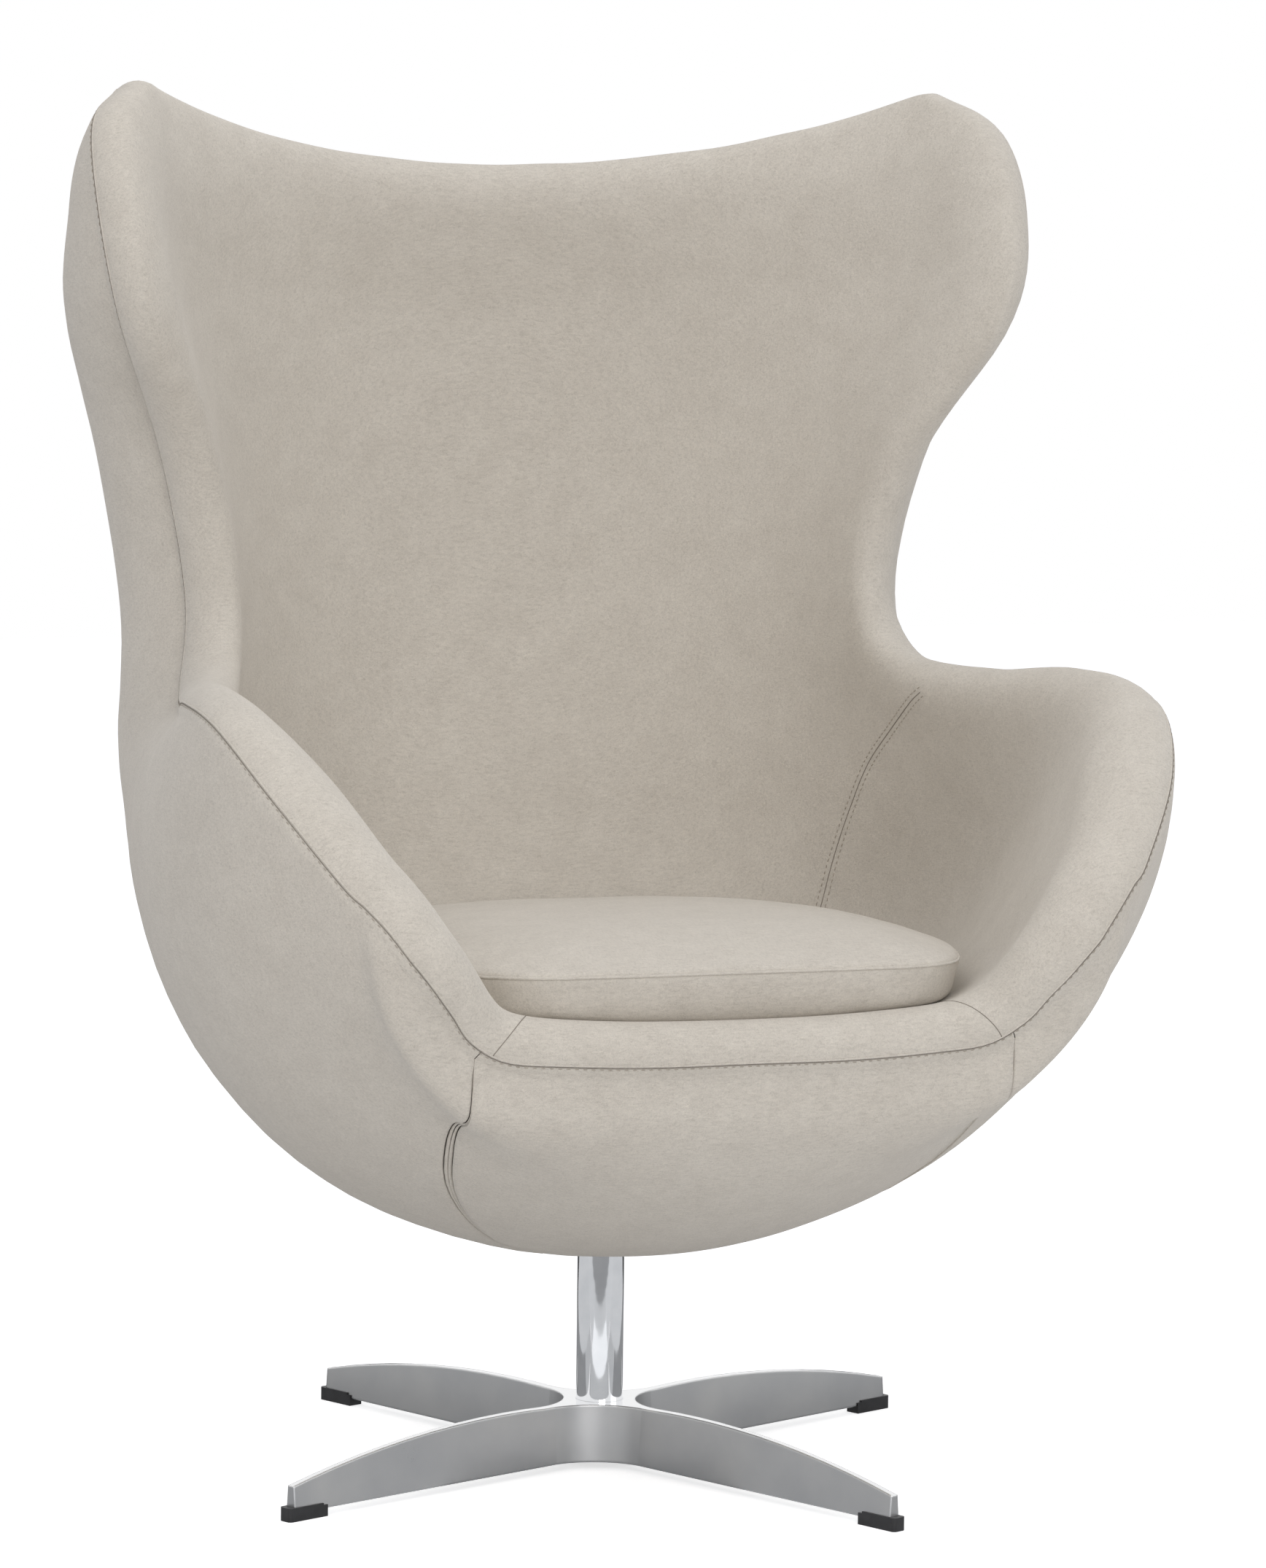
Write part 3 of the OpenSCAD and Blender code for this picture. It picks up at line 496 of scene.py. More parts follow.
LOOP = loop_places(FINE_ROWS, FINE_HALF)
EDGE_OUT = outer_at(LOOP[:, 0], LOOP[:, 1])
EDGE_IN = inner_at(LOOP[:, 0], LOOP[:, 1])
RIM_MID = (EDGE_OUT + EDGE_IN) / 2
RIM_HALF = (EDGE_OUT - EDGE_IN) / 2
RIM_DIR = unit(np.cross(RIM_HALF, np.roll(RIM_MID, -1, 0) - np.roll(RIM_MID, 1, 0)))
for _ in range(3):
    RIM_DIR = RIM_DIR + (np.roll(RIM_DIR, 1, 0) + np.roll(RIM_DIR, -1, 0)) / 2
    RIM_DIR = unit(RIM_DIR - np.sum(RIM_DIR * unit(RIM_HALF), -1, keepdims=True) * unit(RIM_HALF))


def rim_at(s, inset=0.0):
    """Ring of the padded rim at share s: 0 at the inner skin, 1 at the outer skin's seam."""
    p = RIM_MID - RIM_HALF * math.cos(math.pi * s) + RIM_DIR * BULGE * math.sin(math.pi * s)
    return p + inset * unit(RIM_MID - p)


def rim_normals(s):
    a, b = rim_at(s - 0.01), rim_at(s + 0.01)
    along = np.roll(RIM_MID, -1, 0) - np.roll(RIM_MID, 1, 0)
    n = unit(np.cross(b - a, along))
    away = rim_at(s) - RIM_MID
    return n * np.sign(np.sum(n * away, -1, keepdims=True))


# ---------------------------------------------------------------- upholstery
def tree_of(ob, leave_out=0):
    """Search tree of a mesh, without its last faces."""
    faces = [tuple(p.vertices) for p in ob.data.polygons]
    return BVHTree.FromPolygons([v.co.copy() for v in ob.data.vertices], faces[:len(faces) - leave_out])


def loop_ids(rows, half):
    """Ids of a grid's edge points, in the order of loop_places."""
    cols = 2 * half + 1
    return ([j for j in range(cols - 1)] + [i * cols + cols - 1 for i in range(rows)]
            + [rows * cols + j for j in range(cols - 1, 0, -1)] + [i * cols for i in range(rows, 0, -1)])


def orient(faces, verts, at_face, direction):
    """Turns all faces so that the given face looks along a direction."""
    v = np.asarray(verts, float)
    f = faces[at_face]
    n = np.cross(v[f[1]] - v[f[0]], v[f[2]] - v[f[0]])
    if np.dot(n, direction) < 0:
        return [tuple(reversed(q)) for q in faces]
    return faces


def soft_noise(points, size, seed=0.0):
    """Smooth noise between -1 and 1 at each point."""
    return np.array([noise.noise(Vector((x / size + seed, y / size - seed, z / size))) for x, y, z in points])


SEAM_S = 0.88      # where the felts of the inside and the outside meet on the rim
T_FINE = np.linspace(0, SPAN, FINE_ROWS + 1)
C_FINE = np.linspace(-HALF, HALF, 2 * FINE_HALF + 1)
COLS = 2 * FINE_HALF + 1


def ring_chain(loops, start_faces):
    """Faces that join each closed loop of ids to the next."""
    faces = list(start_faces)
    for a, b in zip(loops[:-1], loops[1:]):
        n = len(a)
        faces += [(b[k], b[(k + 1) % n], a[(k + 1) % n], a[k]) for k in range(n)]
    return faces


# Felt of the seat, back and wings: one skin that wraps over the padded rim to the seam
MID_ROW = FINE_ROWS // 2
TUCK_ROWS = 5      # rings of the rim that dive under the other felt
tt, cc = np.meshgrid(T_FINE, C_FINE, indexing="ij")
inner_grid = inner_at(tt, cc)
inner_n = normals(inner_at, tt, cc)
inner_n *= -np.sign(inner_n[MID_ROW, FINE_HALF][1])      # the seat's back faces the front
flat_p, flat_n = inner_grid.reshape(-1, 3), inner_n.reshape(-1, 3)
swell = 0.0009 * soft_noise(flat_p, 0.075, 3.1) + 0.0005 * soft_noise(flat_p, 0.031, 8.4)
edge_fade = np.minimum(1, np.minimum(tt, np.minimum(SPAN - tt, HALF - np.abs(cc))) / 0.8).reshape(-1)
verts = list(flat_p + flat_n * (0.0008 + swell * edge_fade)[:, None] * edge_fade[:, None])
faces = quads(FINE_ROWS + 1, COLS)
rings = [(s, 0.0) for s in np.linspace(0, SEAM_S - 0.018, 15)[1:]]
rings += [(SEAM_S - 0.009, 0.00003), (SEAM_S - 0.005, 0.0003), (SEAM_S - 0.0035, 0.0011),
          (SEAM_S - 0.003, 0.0045)]
loops = [loop_ids(FINE_ROWS, FINE_HALF)]
for s, inset in rings:
    pts = rim_at(s, inset)
    if 0.02 < s < 0.96:
        along = 0.0008 * math.sin(math.pi * s)
        pts = pts + unit(pts - RIM_MID) * (along * soft_noise(pts, 0.045, 5.7))[:, None]
    loops.append(list(range(len(verts), len(verts) + len(pts))))
    verts += list(pts)
mid_face = MID_ROW * (COLS - 1) + FINE_HALF
faces = orient(ring_chain(loops, faces), verts, mid_face, inner_n[MID_ROW, FINE_HALF])
inner_upholstery = piece("inner_upholstery", verts, faces, FELT, "seat_shell")


def points_of(mesh):
    return np.array([v.co[:] for v in mesh.vertices])


def relax(ob, weight, rounds):
    """Evens a skin out where weight is above 0."""
    mesh = ob.data
    p = points_of(mesh)
    e = np.array([ed.vertices[:] for ed in mesh.edges])
    n = np.bincount(e.reshape(-1), minlength=len(p))[:, None]
    for _ in range(rounds):
        total = np.zeros_like(p)
        np.add.at(total, e[:, 0], p[e[:, 1]])
        np.add.at(total, e[:, 1], p[e[:, 0]])
        p += (total / n - p) * weight[:, None] * 0.6
    mesh.vertices.foreach_set("co", p.reshape(-1))
    mesh.update()


def rim_weight(points):
    """High where the seat's skin turns into the rim, most of all on the wings and the head."""
    n = len(LOOP)
    size = tt.size
    w = np.zeros(len(points))
    away = np.array([np.min(np.sum((EDGE_IN - p) ** 2, axis=1)) for p in points[:size]]) ** 0.5
    w[:size] = np.clip(1.0 - away / 0.085, 0, 1) ** 0.5
    for k in range((len(points) - size) // n):
        w[size + k * n:size + (k + 1) * n] = np.clip(1.0 - k / 7.0, 0, 1)
    high = np.clip((points[:, 2] - 0.56) / 0.12, 0, 1)
    return w * (0.25 + 0.75 * high)


face_out(inner_upholstery, inner_grid[MID_ROW, FINE_HALF], inner_n[MID_ROW, FINE_HALF])
relax(inner_upholstery, rim_weight(np.array(verts)), 90)
calm = np.zeros(len(verts))
calm[:tt.size] = 0.6 * (np.clip((tt - 7.5) / 2.0, 0, 1) * np.clip((SPAN - tt) / 0.4, 0, 1)
                        * np.clip((HALF - np.abs(cc)) / 0.8, 0, 1)).reshape(-1)
relax(inner_upholstery, calm, 40)
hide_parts("inner_cover")

# Path of the open darts beside the front apron, in plan, about the swivel axis
DART = np.array([[206, -340], [205, -300], [198, -250], [176, -190], [116, -102], [58, -60],
                 [30, -20]]) / 1000
DART_GAP = 0.007      # widest opening
RECESS_R = 0.0905     # round recess of the underside


def dart_lines():
    """Inner and outer edge of the right dart, in plan."""
    u = np.linspace(0, 6, 241)
    mid = spline(np.column_stack([DART, np.zeros(7)]), u)[:, :2]
    open_w = 0.0004 + DART_GAP * np.sin(np.pi * np.clip((u - 0.42) / 3.9, 0, 1)) ** 1.2
    return mid, mid + open_w[:, None] * np.array([1, 0.35])


def column_on(line, t):
    """Column place where row t of the outer skin crosses a line in plan (right half)."""
    c = np.linspace(0.02, HALF, 900)
    p = outer_at(np.full_like(c, t), c) - [0, AXIS_Y, 0]
    order = np.argsort(line[:, 1])
    gap = p[:, 0] - np.interp(p[:, 1], line[order, 1], line[order, 0])
    k = np.where(gap > 0)[0]
    k = k[0] if len(k) else len(c) - 1
    if k == 0:
        return float(c[0])
    f = gap[k - 1] / (gap[k - 1] - gap[k])
    return float(c[k - 1] + f * (c[k] - c[k - 1]))


line_in, line_out = dart_lines()
c_in = np.array([column_on(line_in, t) for t in T_FINE])
c_out = np.array([column_on(line_out, t) for t in T_FINE])
edge_r = np.hypot(*(outer_at(T_FINE, c_out) - [0, AXIS_Y, 0])[:, :2].T)
reach = np.where((edge_r < RECESS_R - 0.004) & (T_FINE > 1.5))[0]
DART_ROWS = int(reach[0]) if len(reach) else 32


def clear_recess(verts, faces):
    """Cuts the round recess out of the underside and leaves a smooth edge."""
    v = np.array(verts, float)
    r = np.hypot(v[:, 0], v[:, 1] - AXIS_Y)
    low = v[:, 2] < 0.25
    inside = (r < RECESS_R) & low
    near = {}
    for f in faces:
        n = len(f)
        for k in range(n):
            a, b = f[k], f[(k + 1) % n]
            for x, y in ((a, b), (b, a)):
                if inside[x] and not inside[y]:
                    near.setdefault(x, []).append(y)
    moved = v.copy()
    kept = ~inside
    for x, others in near.items():
        spots = []
        for y in others:
            d = v[y] - v[x]
            lo, hi = 0.0, 1.0
            for _ in range(24):
                m = (lo + hi) / 2
                q = v[x] + m * d
                if math.hypot(q[0], q[1] - AXIS_Y) < RECESS_R:
                    lo = m
                else:
                    hi = m
            spots.append(v[x] + hi * d)
        moved[x] = np.mean(spots, 0)
        kept[x] = True
    return list(moved), [f for f in faces if all(kept[k] for k in f) and not all(k in near for k in f)]


def prune(verts, faces):
    """Leaves out the points that no face uses."""
    used = sorted({k for f in faces for k in f})
    index = {k: n for n, k in enumerate(used)}
    return [verts[k] for k in used], [tuple(index[k] for k in f) for f in faces]


def tuck(points, outward, normal, rows):
    """Rows of points that roll an edge over: each row is (sideways, down) from the edge."""
    return [points + outward * a - normal * d for a, d in rows]


# Outer felt: sides and back in one piece, the front apron in another
RIGHT = 34       # columns on each side
MIDDLE = 24      # columns between the darts' lines
BACK_ROW = 92


def outer_columns(i):
    """Column places of row i, so that a grid line runs along each dart."""
    c = c_out[min(i, DART_ROWS)]
    share = np.linspace(0, 1, RIGHT + 1)
    side = c + (HALF - c) * share
    mid = np.linspace(-c, c, MIDDLE + 1)
    return np.concatenate([-side[::-1][:-1], mid, side[1:]])


out_c = np.array([outer_columns(i) for i in range(FINE_ROWS + 1)])
ocols = out_c.shape[1]
out_t = np.broadcast_to(T_FINE[:, None], out_c.shape)
outer_grid = outer_at(out_t, out_c)
outer_n = normals(outer_at, out_t, out_c)
outer_n *= np.sign(outer_n[BACK_ROW, RIGHT + MIDDLE // 2][1])
flat_p, flat_n = outer_grid.reshape(-1, 3), outer_n.reshape(-1, 3)
swell = 0.0010 * soft_noise(flat_p, 0.085, 1.3) + 0.0005 * soft_noise(flat_p, 0.035, 6.2)
edge_fade = np.minimum(1, np.minimum(out_t, np.minimum(SPAN - out_t, HALF - np.abs(out_c))) / 0.8).reshape(-1)
verts = list(flat_p + flat_n * (swell * edge_fade)[:, None])
all_faces = quads(FINE_ROWS + 1, ocols)
middle = range(RIGHT, RIGHT + MIDDLE)
faces = [f for k, f in enumerate(all_faces)
         if not (k // (ocols - 1) < DART_ROWS and k % (ocols - 1) in middle)]
faces = orient(faces, verts, len(faces) - (ocols - 1) * 20 + RIGHT + MIDDLE // 2,
               outer_n[BACK_ROW, RIGHT + MIDDLE // 2])
verts, faces = clear_recess(verts, faces)


def strip(verts, faces, ids, rows, flip):
    """Adds rows of new points along a chain of vertex ids."""
    prev = list(ids)
    for pts in rows:
        cur = list(range(len(verts), len(verts) + len(pts)))
        verts += list(pts)
        for k in range(len(prev) - 1):
            f = (prev[k], prev[k + 1], cur[k + 1], cur[k])
            faces.append(tuple(reversed(f)) if flip else f)
        prev = cur


# Edge along the seam round the rim, from the left dart corner over the head to the right one
rim_rows = [(s, 0.0) for s in (0.985, 0.965, 0.94, 0.915)]
rim_rows += [(SEAM_S + 0.009, 0.00003), (SEAM_S + 0.004, 0.0003), (SEAM_S + 0.0028, 0.0011),
             (SEAM_S + 0.0022, 0.0045)]


def nearest_loop(t, c):
    return int((np.abs(LOOP[:, 0] - t) + np.abs(LOOP[:, 1] - c)).argmin())


def rim_strip(verts, faces, ids, places, flip):
    """Carries a skin's edge over the rim to the seam, from places between the loop's own points."""
    near = [nearest_loop(t, c) for t, c in places]
    edge = np.array([outer_at(np.array(t), np.array(c)) for t, c in places])
    strip(verts, faces, ids, [rim_at(s, q)[near] - EDGE_OUT[near] + edge for s, q in rim_rows], flip)


walk = [(0, j) for j in range(RIGHT + MIDDLE, ocols)]
walk += [(i, ocols - 1) for i in range(1, FINE_ROWS + 1)]
walk += [(FINE_ROWS, j) for j in range(ocols - 2, -1, -1)]
walk += [(i, 0) for i in range(FINE_ROWS - 1, -1, -1)]
walk += [(0, j) for j in range(1, RIGHT + 1)]
rim_strip(verts, faces, [i * ocols + j for i, j in walk], [(T_FINE[i], out_c[i, j]) for i, j in walk], False)

# Rolled edges along the darts
DART_ROLL = [(0.0002, 0.0002), (0.0003, 0.0010), (0.0001, 0.0050), (-0.0004, 0.0120)]


def roll_edge(grid, normal, j, start, end, flip):
    """Rolls column j of a grid over, sideways as from column start to column end."""
    ids = [i * grid.shape[1] + j for i in range(DART_ROWS + 1)]
    p = np.array([verts[k] for k in ids])
    away = unit(grid[:DART_ROWS + 1, end] - grid[:DART_ROWS + 1, start])
    strip(verts, faces, ids, tuck(p, away, normal[:DART_ROWS + 1, j], DART_ROLL), flip)


for side, j in ((1, RIGHT + MIDDLE), (-1, RIGHT)):
    roll_edge(outer_grid, outer_n, j, j, j - side, side > 0)
verts, faces = prune(verts, faces)
outer_upholstery = piece("outer_upholstery", verts, faces, FELT, "seat_shell")


def open_edges(faces):
    """Edges that only one face uses, in the order in which the faces meet them."""
    use = {}
    for f in faces:
        for k in range(len(f)):
            e = tuple(sorted((f[k], f[(k + 1) % len(f)])))
            use[e] = use.get(e, 0) + 1
    return [e for e, n in use.items() if n == 1]


def inner_share(ob, near):
    """0 on open edges and close to them, 1 elsewhere."""
    p = points_of(ob.data)
    q = p[sorted({k for e in open_edges([tuple(f.vertices) for f in ob.data.polygons]) for k in e})]
    d = np.array([np.min(np.sum((q - a) ** 2, axis=1)) for a in p]) ** 0.5
    return np.clip((d - near[0]) / (near[1] - near[0]), 0, 1)


face_out(outer_upholstery, outer_grid[BACK_ROW, RIGHT + MIDDLE // 2],
         outer_n[BACK_ROW, RIGHT + MIDDLE // 2])
CORNER = outer_at(np.array(2.4), np.array(4.6))


def from_corner(points):
    """Distance to the nearer front corner of the shell."""
    p = np.array(points, float)
    p[..., 0] = np.abs(p[..., 0])
    return np.linalg.norm(p - CORNER, axis=-1)


near_corner = np.exp(-(from_corner(points_of(outer_upholstery.data)) / 0.075) ** 2)
relax(outer_upholstery, inner_share(outer_upholstery, (0.006, 0.025)) * near_corner, 40)
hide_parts("outer_cover")

# Front apron between the darts
A_HALF = 26
apron_c = np.array([np.linspace(-c_in[i], c_in[i], 2 * A_HALF + 1) for i in range(DART_ROWS + 1)])
apron_t = np.broadcast_to(T_FINE[:DART_ROWS + 1, None], apron_c.shape)
apron_grid = outer_at(apron_t, apron_c)
apron_n = normals(outer_at, apron_t, apron_c)
apron_n *= -np.sign(apron_n[4, A_HALF][1])
acols = 2 * A_HALF + 1
flat_p, flat_n = apron_grid.reshape(-1, 3), apron_n.reshape(-1, 3)
fade = np.minimum(1, np.minimum(apron_t, 4) / 0.8).reshape(-1)
verts = list(flat_p + flat_n * (0.0008 * fade * soft_noise(flat_p, 0.08, 2.7))[:, None])
faces = orient(quads(DART_ROWS + 1, acols), verts, 2 * (acols - 1) + A_HALF, apron_n[2, A_HALF])
verts, faces = clear_recess(verts, faces)
rim_strip(verts, faces, list(range(acols)), [(0.0, c) for c in apron_c[0]], True)
for side, j in ((1, acols - 1), (-1, 0)):
    roll_edge(apron_grid, apron_n, j, j - side, j, side < 0)
verts, faces = prune(verts, faces)
apron_upholstery = piece("apron_upholstery", verts, faces, FELT, "seat_shell")
face_out(apron_upholstery, apron_grid[6, A_HALF], apron_n[6, A_HALF])
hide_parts("front_apron")


# Black collar inside the recess, its edges rounded
profile = [(0.0870, 0.1790), (0.0874, 0.1782), (0.0890, 0.1782), (0.0894, 0.1790), (0.0894, 0.1885),
           (0.0890, 0.1892), (0.0874, 0.1892), (0.0870, 0.1885)]
TURNS = 96
verts = []
for k in range(TURNS):
    a = 2 * math.pi * k / TURNS
    verts += [(r * math.cos(a), AXIS_Y + r * math.sin(a), z) for r, z in profile]
faces = []
for k in range(TURNS):
    n = (k + 1) % TURNS
    for i in range(8):
        j = (i + 1) % 8
        faces.append((k * 8 + i, n * 8 + i, n * 8 + j, k * 8 + j))
recess_collar = piece("recess_collar", verts, faces, BLACK, "seat_shell")
face_out(recess_collar)
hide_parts("recess_trim")

# Moulded core under the felt, seen only through the open darts and in the recess
CORE_ROWS, CORE_HALF = 56, 18
CORE_DEPTH = 0.0085      # below the skins
CORE_CLEAR = 0.006       # below the felt as it ended up
CORE_T = np.linspace(0, SPAN, CORE_ROWS + 1)
CORE_C = np.linspace(-HALF, HALF, 2 * CORE_HALF + 1)


def core_skin(at, other):
    a, b = np.meshgrid(CORE_T, CORE_C, indexing="ij")
    p = at(a, b)
    return p + unit(other(a, b) - p) * CORE_DEPTH


core_in, core_out = core_skin(inner_at, outer_at), core_skin(outer_at, inner_at)
verts = list(core_in.reshape(-1, 3))
grid_faces = quads(len(CORE_T), len(CORE_C))
small = loop_ids(CORE_ROWS, CORE_HALF)
pick = [nearest_loop(CORE_T[k // len(CORE_C)], CORE_C[k % len(CORE_C)]) for k in small]
chain = [small]
for s in np.linspace(0.1, 0.9, 9):
    pts = rim_at(s, CORE_DEPTH)[pick]
    chain.append(list(range(len(verts), len(verts) + len(pts))))
    verts += list(pts)
shift = len(verts)
verts += list(core_out.reshape(-1, 3))
chain.append([shift + k for k in small])
faces = ring_chain(chain, grid_faces) + [tuple(shift + k for k in reversed(f)) for f in grid_faces]
verts, faces = clear_recess(verts, faces)
hole = open_edges(faces)
top_of = {}
CEILING = 0.2408      # height of the recess's ceiling
for e in hole:
    for k in e:
        if k not in top_of:
            top_of[k] = len(verts)
            verts.append(np.array([verts[k][0], verts[k][1], CEILING]))
for a, b in hole:
    faces.append((a, b, top_of[b], top_of[a]))
verts.append(np.array([0, AXIS_Y, CEILING]))
for a, b in hole:
    faces.append((top_of[a], top_of[b], len(verts) - 1))
outer_tree = tree_of(outer_upholstery)
seat_side = tree_of(inner_upholstery, TUCK_ROWS * len(LOOP))
for k, p in enumerate(verts):
    if k >= shift and from_corner(p) >= 0.13:
        continue
    co, n, _, d = (seat_side if k < shift else outer_tree).find_nearest(Vector(p))
    gap = (Vector(p) - co).dot(n)
    if gap > -CORE_CLEAR and d < 0.02 and math.hypot(p[0], p[1] - AXIS_Y) > RECESS_R + 0.0045:
        verts[k] = np.array(co) - CORE_CLEAR * np.array(n)
verts, faces = prune(verts, faces)
foam_core = piece("foam_core", verts, faces, FOAM, "seat_shell", smooth=False)
face_out(foam_core)
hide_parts("moulded_shell")


# ---------------------------------------------------------------- seams, stitches, rolled strips
def settle(tree, points):
    """Nearest points of a mesh, with its normals."""
    out, ups = [], []
    for p in points:
        co, n, _, _ = tree.find_nearest(Vector(p))
        out.append(np.array(co))
        ups.append(np.array(n))
    return np.array(out), np.array(ups)


inner_tree = tree_of(inner_upholstery)
apron_tree = tree_of(apron_upholstery)

# Sewn darts inside the arms: a closed seam between two rows of stitches, its groove drawn as a dark tube of
# painted shade
INNER_DART = [[7.46, 7.98], [7.45, 7.04], [7.40, 6.0], [7.29, 5.1], [7.07, 4.47], [6.73, 3.86], [6.35, 3.37],
              [5.9, 2.9], [5.4, 2.4]]
groove_runs, groove_ups, stitch_runs, stitch_ups = [], [], [], []
for sign in (1, -1):
    u = np.linspace(0, len(INNER_DART) - 1, 160)
    tc = spline(np.column_stack([INNER_DART, np.zeros(len(INNER_DART))]), u)[:, :2]
    mid = inner_at(tc[:, 0], np.clip(tc[:, 1], -HALF, HALF) * sign)
    mid, ups = settle(inner_tree, mid)
    mid, ups = resample(mid, 0.004, extra=[ups])
    groove_runs.append(mid + ups * 0.00005)
    groove_ups.append(ups)
    tangent = unit(np.gradient(mid, axis=0))
    across = unit(np.cross(tangent, ups))
    for off in (-0.0040, 0.0040):
        row, rn = settle(inner_tree, mid + across * off)
        r, n = stitch_paths(row, rn, pitch=0.0052, length=0.0038, lift=0.0004)
        stitch_runs += r
        stitch_ups += n

# Short seams across the rim at the front corners, and a dark line along the bead, all dark tubes of painted
# shade in the grooves
CORNER_SEAM = 3.35      # column place
for sign in (1, -1):
    k = nearest_loop(0, CORNER_SEAM * sign)
    pts = np.array([rim_at(s)[k] for s in np.linspace(SEAM_S - 0.01, 0.05, 40)])
    pts, ups = settle(inner_tree, pts)
    groove_runs.append(pts)
    groove_ups.append(ups)
groove_runs.append(closed_path(rim_at(SEAM_S + 0.017, -0.0002)))
groove_ups.append(closed_path(rim_normals(SEAM_S)))
v, f = tube_mesh(groove_runs, 0.00038, 6, up=groove_ups)
piece("inner_seam_shade_lines", v, f, GROOVE_SHADE, "seat_shell")

# Hand stitches along the seam round the rim
seam_row = rim_at(SEAM_S + 0.035)
best, best_n = [], []
for p in seam_row:
    a = outer_tree.find_nearest(Vector(p))
    b = apron_tree.find_nearest(Vector(p))
    q = a if a[3] <= b[3] else b
    best.append(np.array(q[0]))
    best_n.append(np.array(q[1]))
best, best_n = resample(np.array(best), 0.004, closed=True, extra=[np.array(best_n)])
r, n = stitch_paths(best, best_n, pitch=0.0062, length=0.0042, lift=0.00025)
stitch_runs += r
stitch_ups += n
v, f = tube_mesh(stitch_runs, 0.00032, 5, up=stitch_ups)
piece("stitches", v, f, THREAD, "seat_shell")

# Fine felt bead that lies in the seam
v, f = tube_mesh([closed_path(rim_at(SEAM_S, 0.0004))], 0.0010, 8)
piece("seam_bead", v, f, FELT, "seat_shell")

# Two rolled strips of felt close each open dart
runs, ups, radii = [], [], []
for sign in (1, -1):
    for share in (0.31, 0.69):
        pts, nrm, rad = [], [], []
        for i in range(4, DART_ROWS + 1):
            a = outer_at(T_FINE[i], sign * c_in[i])
            b = outer_at(T_FINE[i], sign * c_out[i])
            w = np.linalg.norm(b - a)
            c = c_in[i] + (c_out[i] - c_in[i]) * share
            n = normals(outer_at, np.array(T_FINE[i]), np.array(sign * c))
            if np.dot(n, outer_at(T_FINE[i], sign * c) - inner_at(T_FINE[i], sign * c)) < 0:
                n = -n
            pts.append(outer_at(T_FINE[i], sign * c) - n * (0.0006 + 0.13 * w))
            nrm.append(n)
            rad.append(max(0.0002, 0.125 * w))
        runs.append(np.array(pts))
        ups.append(np.array(nrm))
        radii.append(np.array(rad))
v, f = tube_mesh(runs, radii, 12, up=ups)
piece("dart_strips", v, f, FELT, "seat_shell")


# ---------------------------------------------------------------- seat cushion
CUSHION_FRONT = -303
CUSHION_HALF = [[0, CUSHION_FRONT], [90, CUSHION_FRONT], [148, -297], [183, -266], [214, -190], [232, -100],
                [236, -10], [220, 70], [184, 136], [110, 176], [0, 187]]
BAND, CROWN, SLOPE, DRAW, MID_Y = 30.0, 26.0, math.radians(2.6), 9.0, -50.0
SEAM_Z = 389.5 + BAND      # underside at the front, and the boxed side
side = spline(np.column_stack([CUSHION_HALF, np.zeros(11)]), np.linspace(0, 10, 101))[:, :2]
outline = np.vstack([side, np.column_stack([-side[-2:0:-1, 0], side[-2:0:-1, 1]])])
RINGS = [[0.0, 0, -BAND], [0.2, 0, -BAND], [0.45, 0, -BAND], [0.65, 0, -BAND], [0.80, 0, -BAND],
         [0.92, 4, -BAND], [1, DRAW + 7, -BAND], [1, DRAW + 3, -BAND + 1.2], [1, DRAW, -BAND + 4],
         [1, DRAW - 2.2, -BAND * 0.72], [1, DRAW - 4, -BAND / 2], [1, 3.2, -9], [1, 2, -4], [1, 0.6, -1.5],
         [1, 0, 0], [1, 0.8, 1.6], [1, 3, 4], [0.965, 0.5, 7.6], [0.93, 0, CROWN * 0.42],
         [0.86, 0, CROWN * 0.59], [0.78, 0, CROWN * 0.72], [0.67, 0, CROWN * 0.835],
         [0.55, 0, CROWN * 0.92], [0.42, 0, CROWN * 0.97], [0.28, 0, CROWN], [0.14, 0, CROWN],
         [0.0, 0, CROWN]]


def seam_height(y):
    """Height of the cushion's seam at y from the swivel axis, in millimetres."""
    return SEAM_Z - math.tan(SLOPE) * (y - CUSHION_FRONT)


def cushion_ring(share, inset, height):
    c = np.array([0, MID_Y])
    d = outline - c
    q = c + d * share - unit(d) * (inset if share > 0 else 0)
    return np.column_stack([q, seam_height(q[:, 1]) + height]) / 1000 + [0, AXIS_Y, 0]


count = len(outline)
verts, faces = [], []
for share, inset, height in RINGS[1:-1]:
    verts += list(cushion_ring(share, inset, height))
for i in range(len(RINGS) - 3):
    for k in range(count):
        n = (k + 1) % count
        faces.append((i * count + k, i * count + n, (i + 1) * count + n, (i + 1) * count + k))
verts += [cushion_ring(0, 0, -BAND)[0], cushion_ring(0, 0, CROWN)[0]]
top = (len(RINGS) - 3) * count
for k in range(count):
    n = (k + 1) % count
    faces.append((len(verts) - 2, n, k))
    faces.append((len(verts) - 1, top + k, top + n))
cushion = piece("seat_pad", verts, faces, FELT, "cushion")
seam_path = cushion_ring(1, 0, 0)


def bake(ob):
    """Puts what the modifiers make into the mesh and drops them."""
    graph = bpy.context.evaluated_depsgraph_get()
    mesh = bpy.data.meshes.new_from_object(ob.evaluated_get(graph))
    ob.modifiers.clear()
    ob.data = mesh
    mesh.polygons.foreach_set("use_smooth", [True] * len(mesh.polygons))


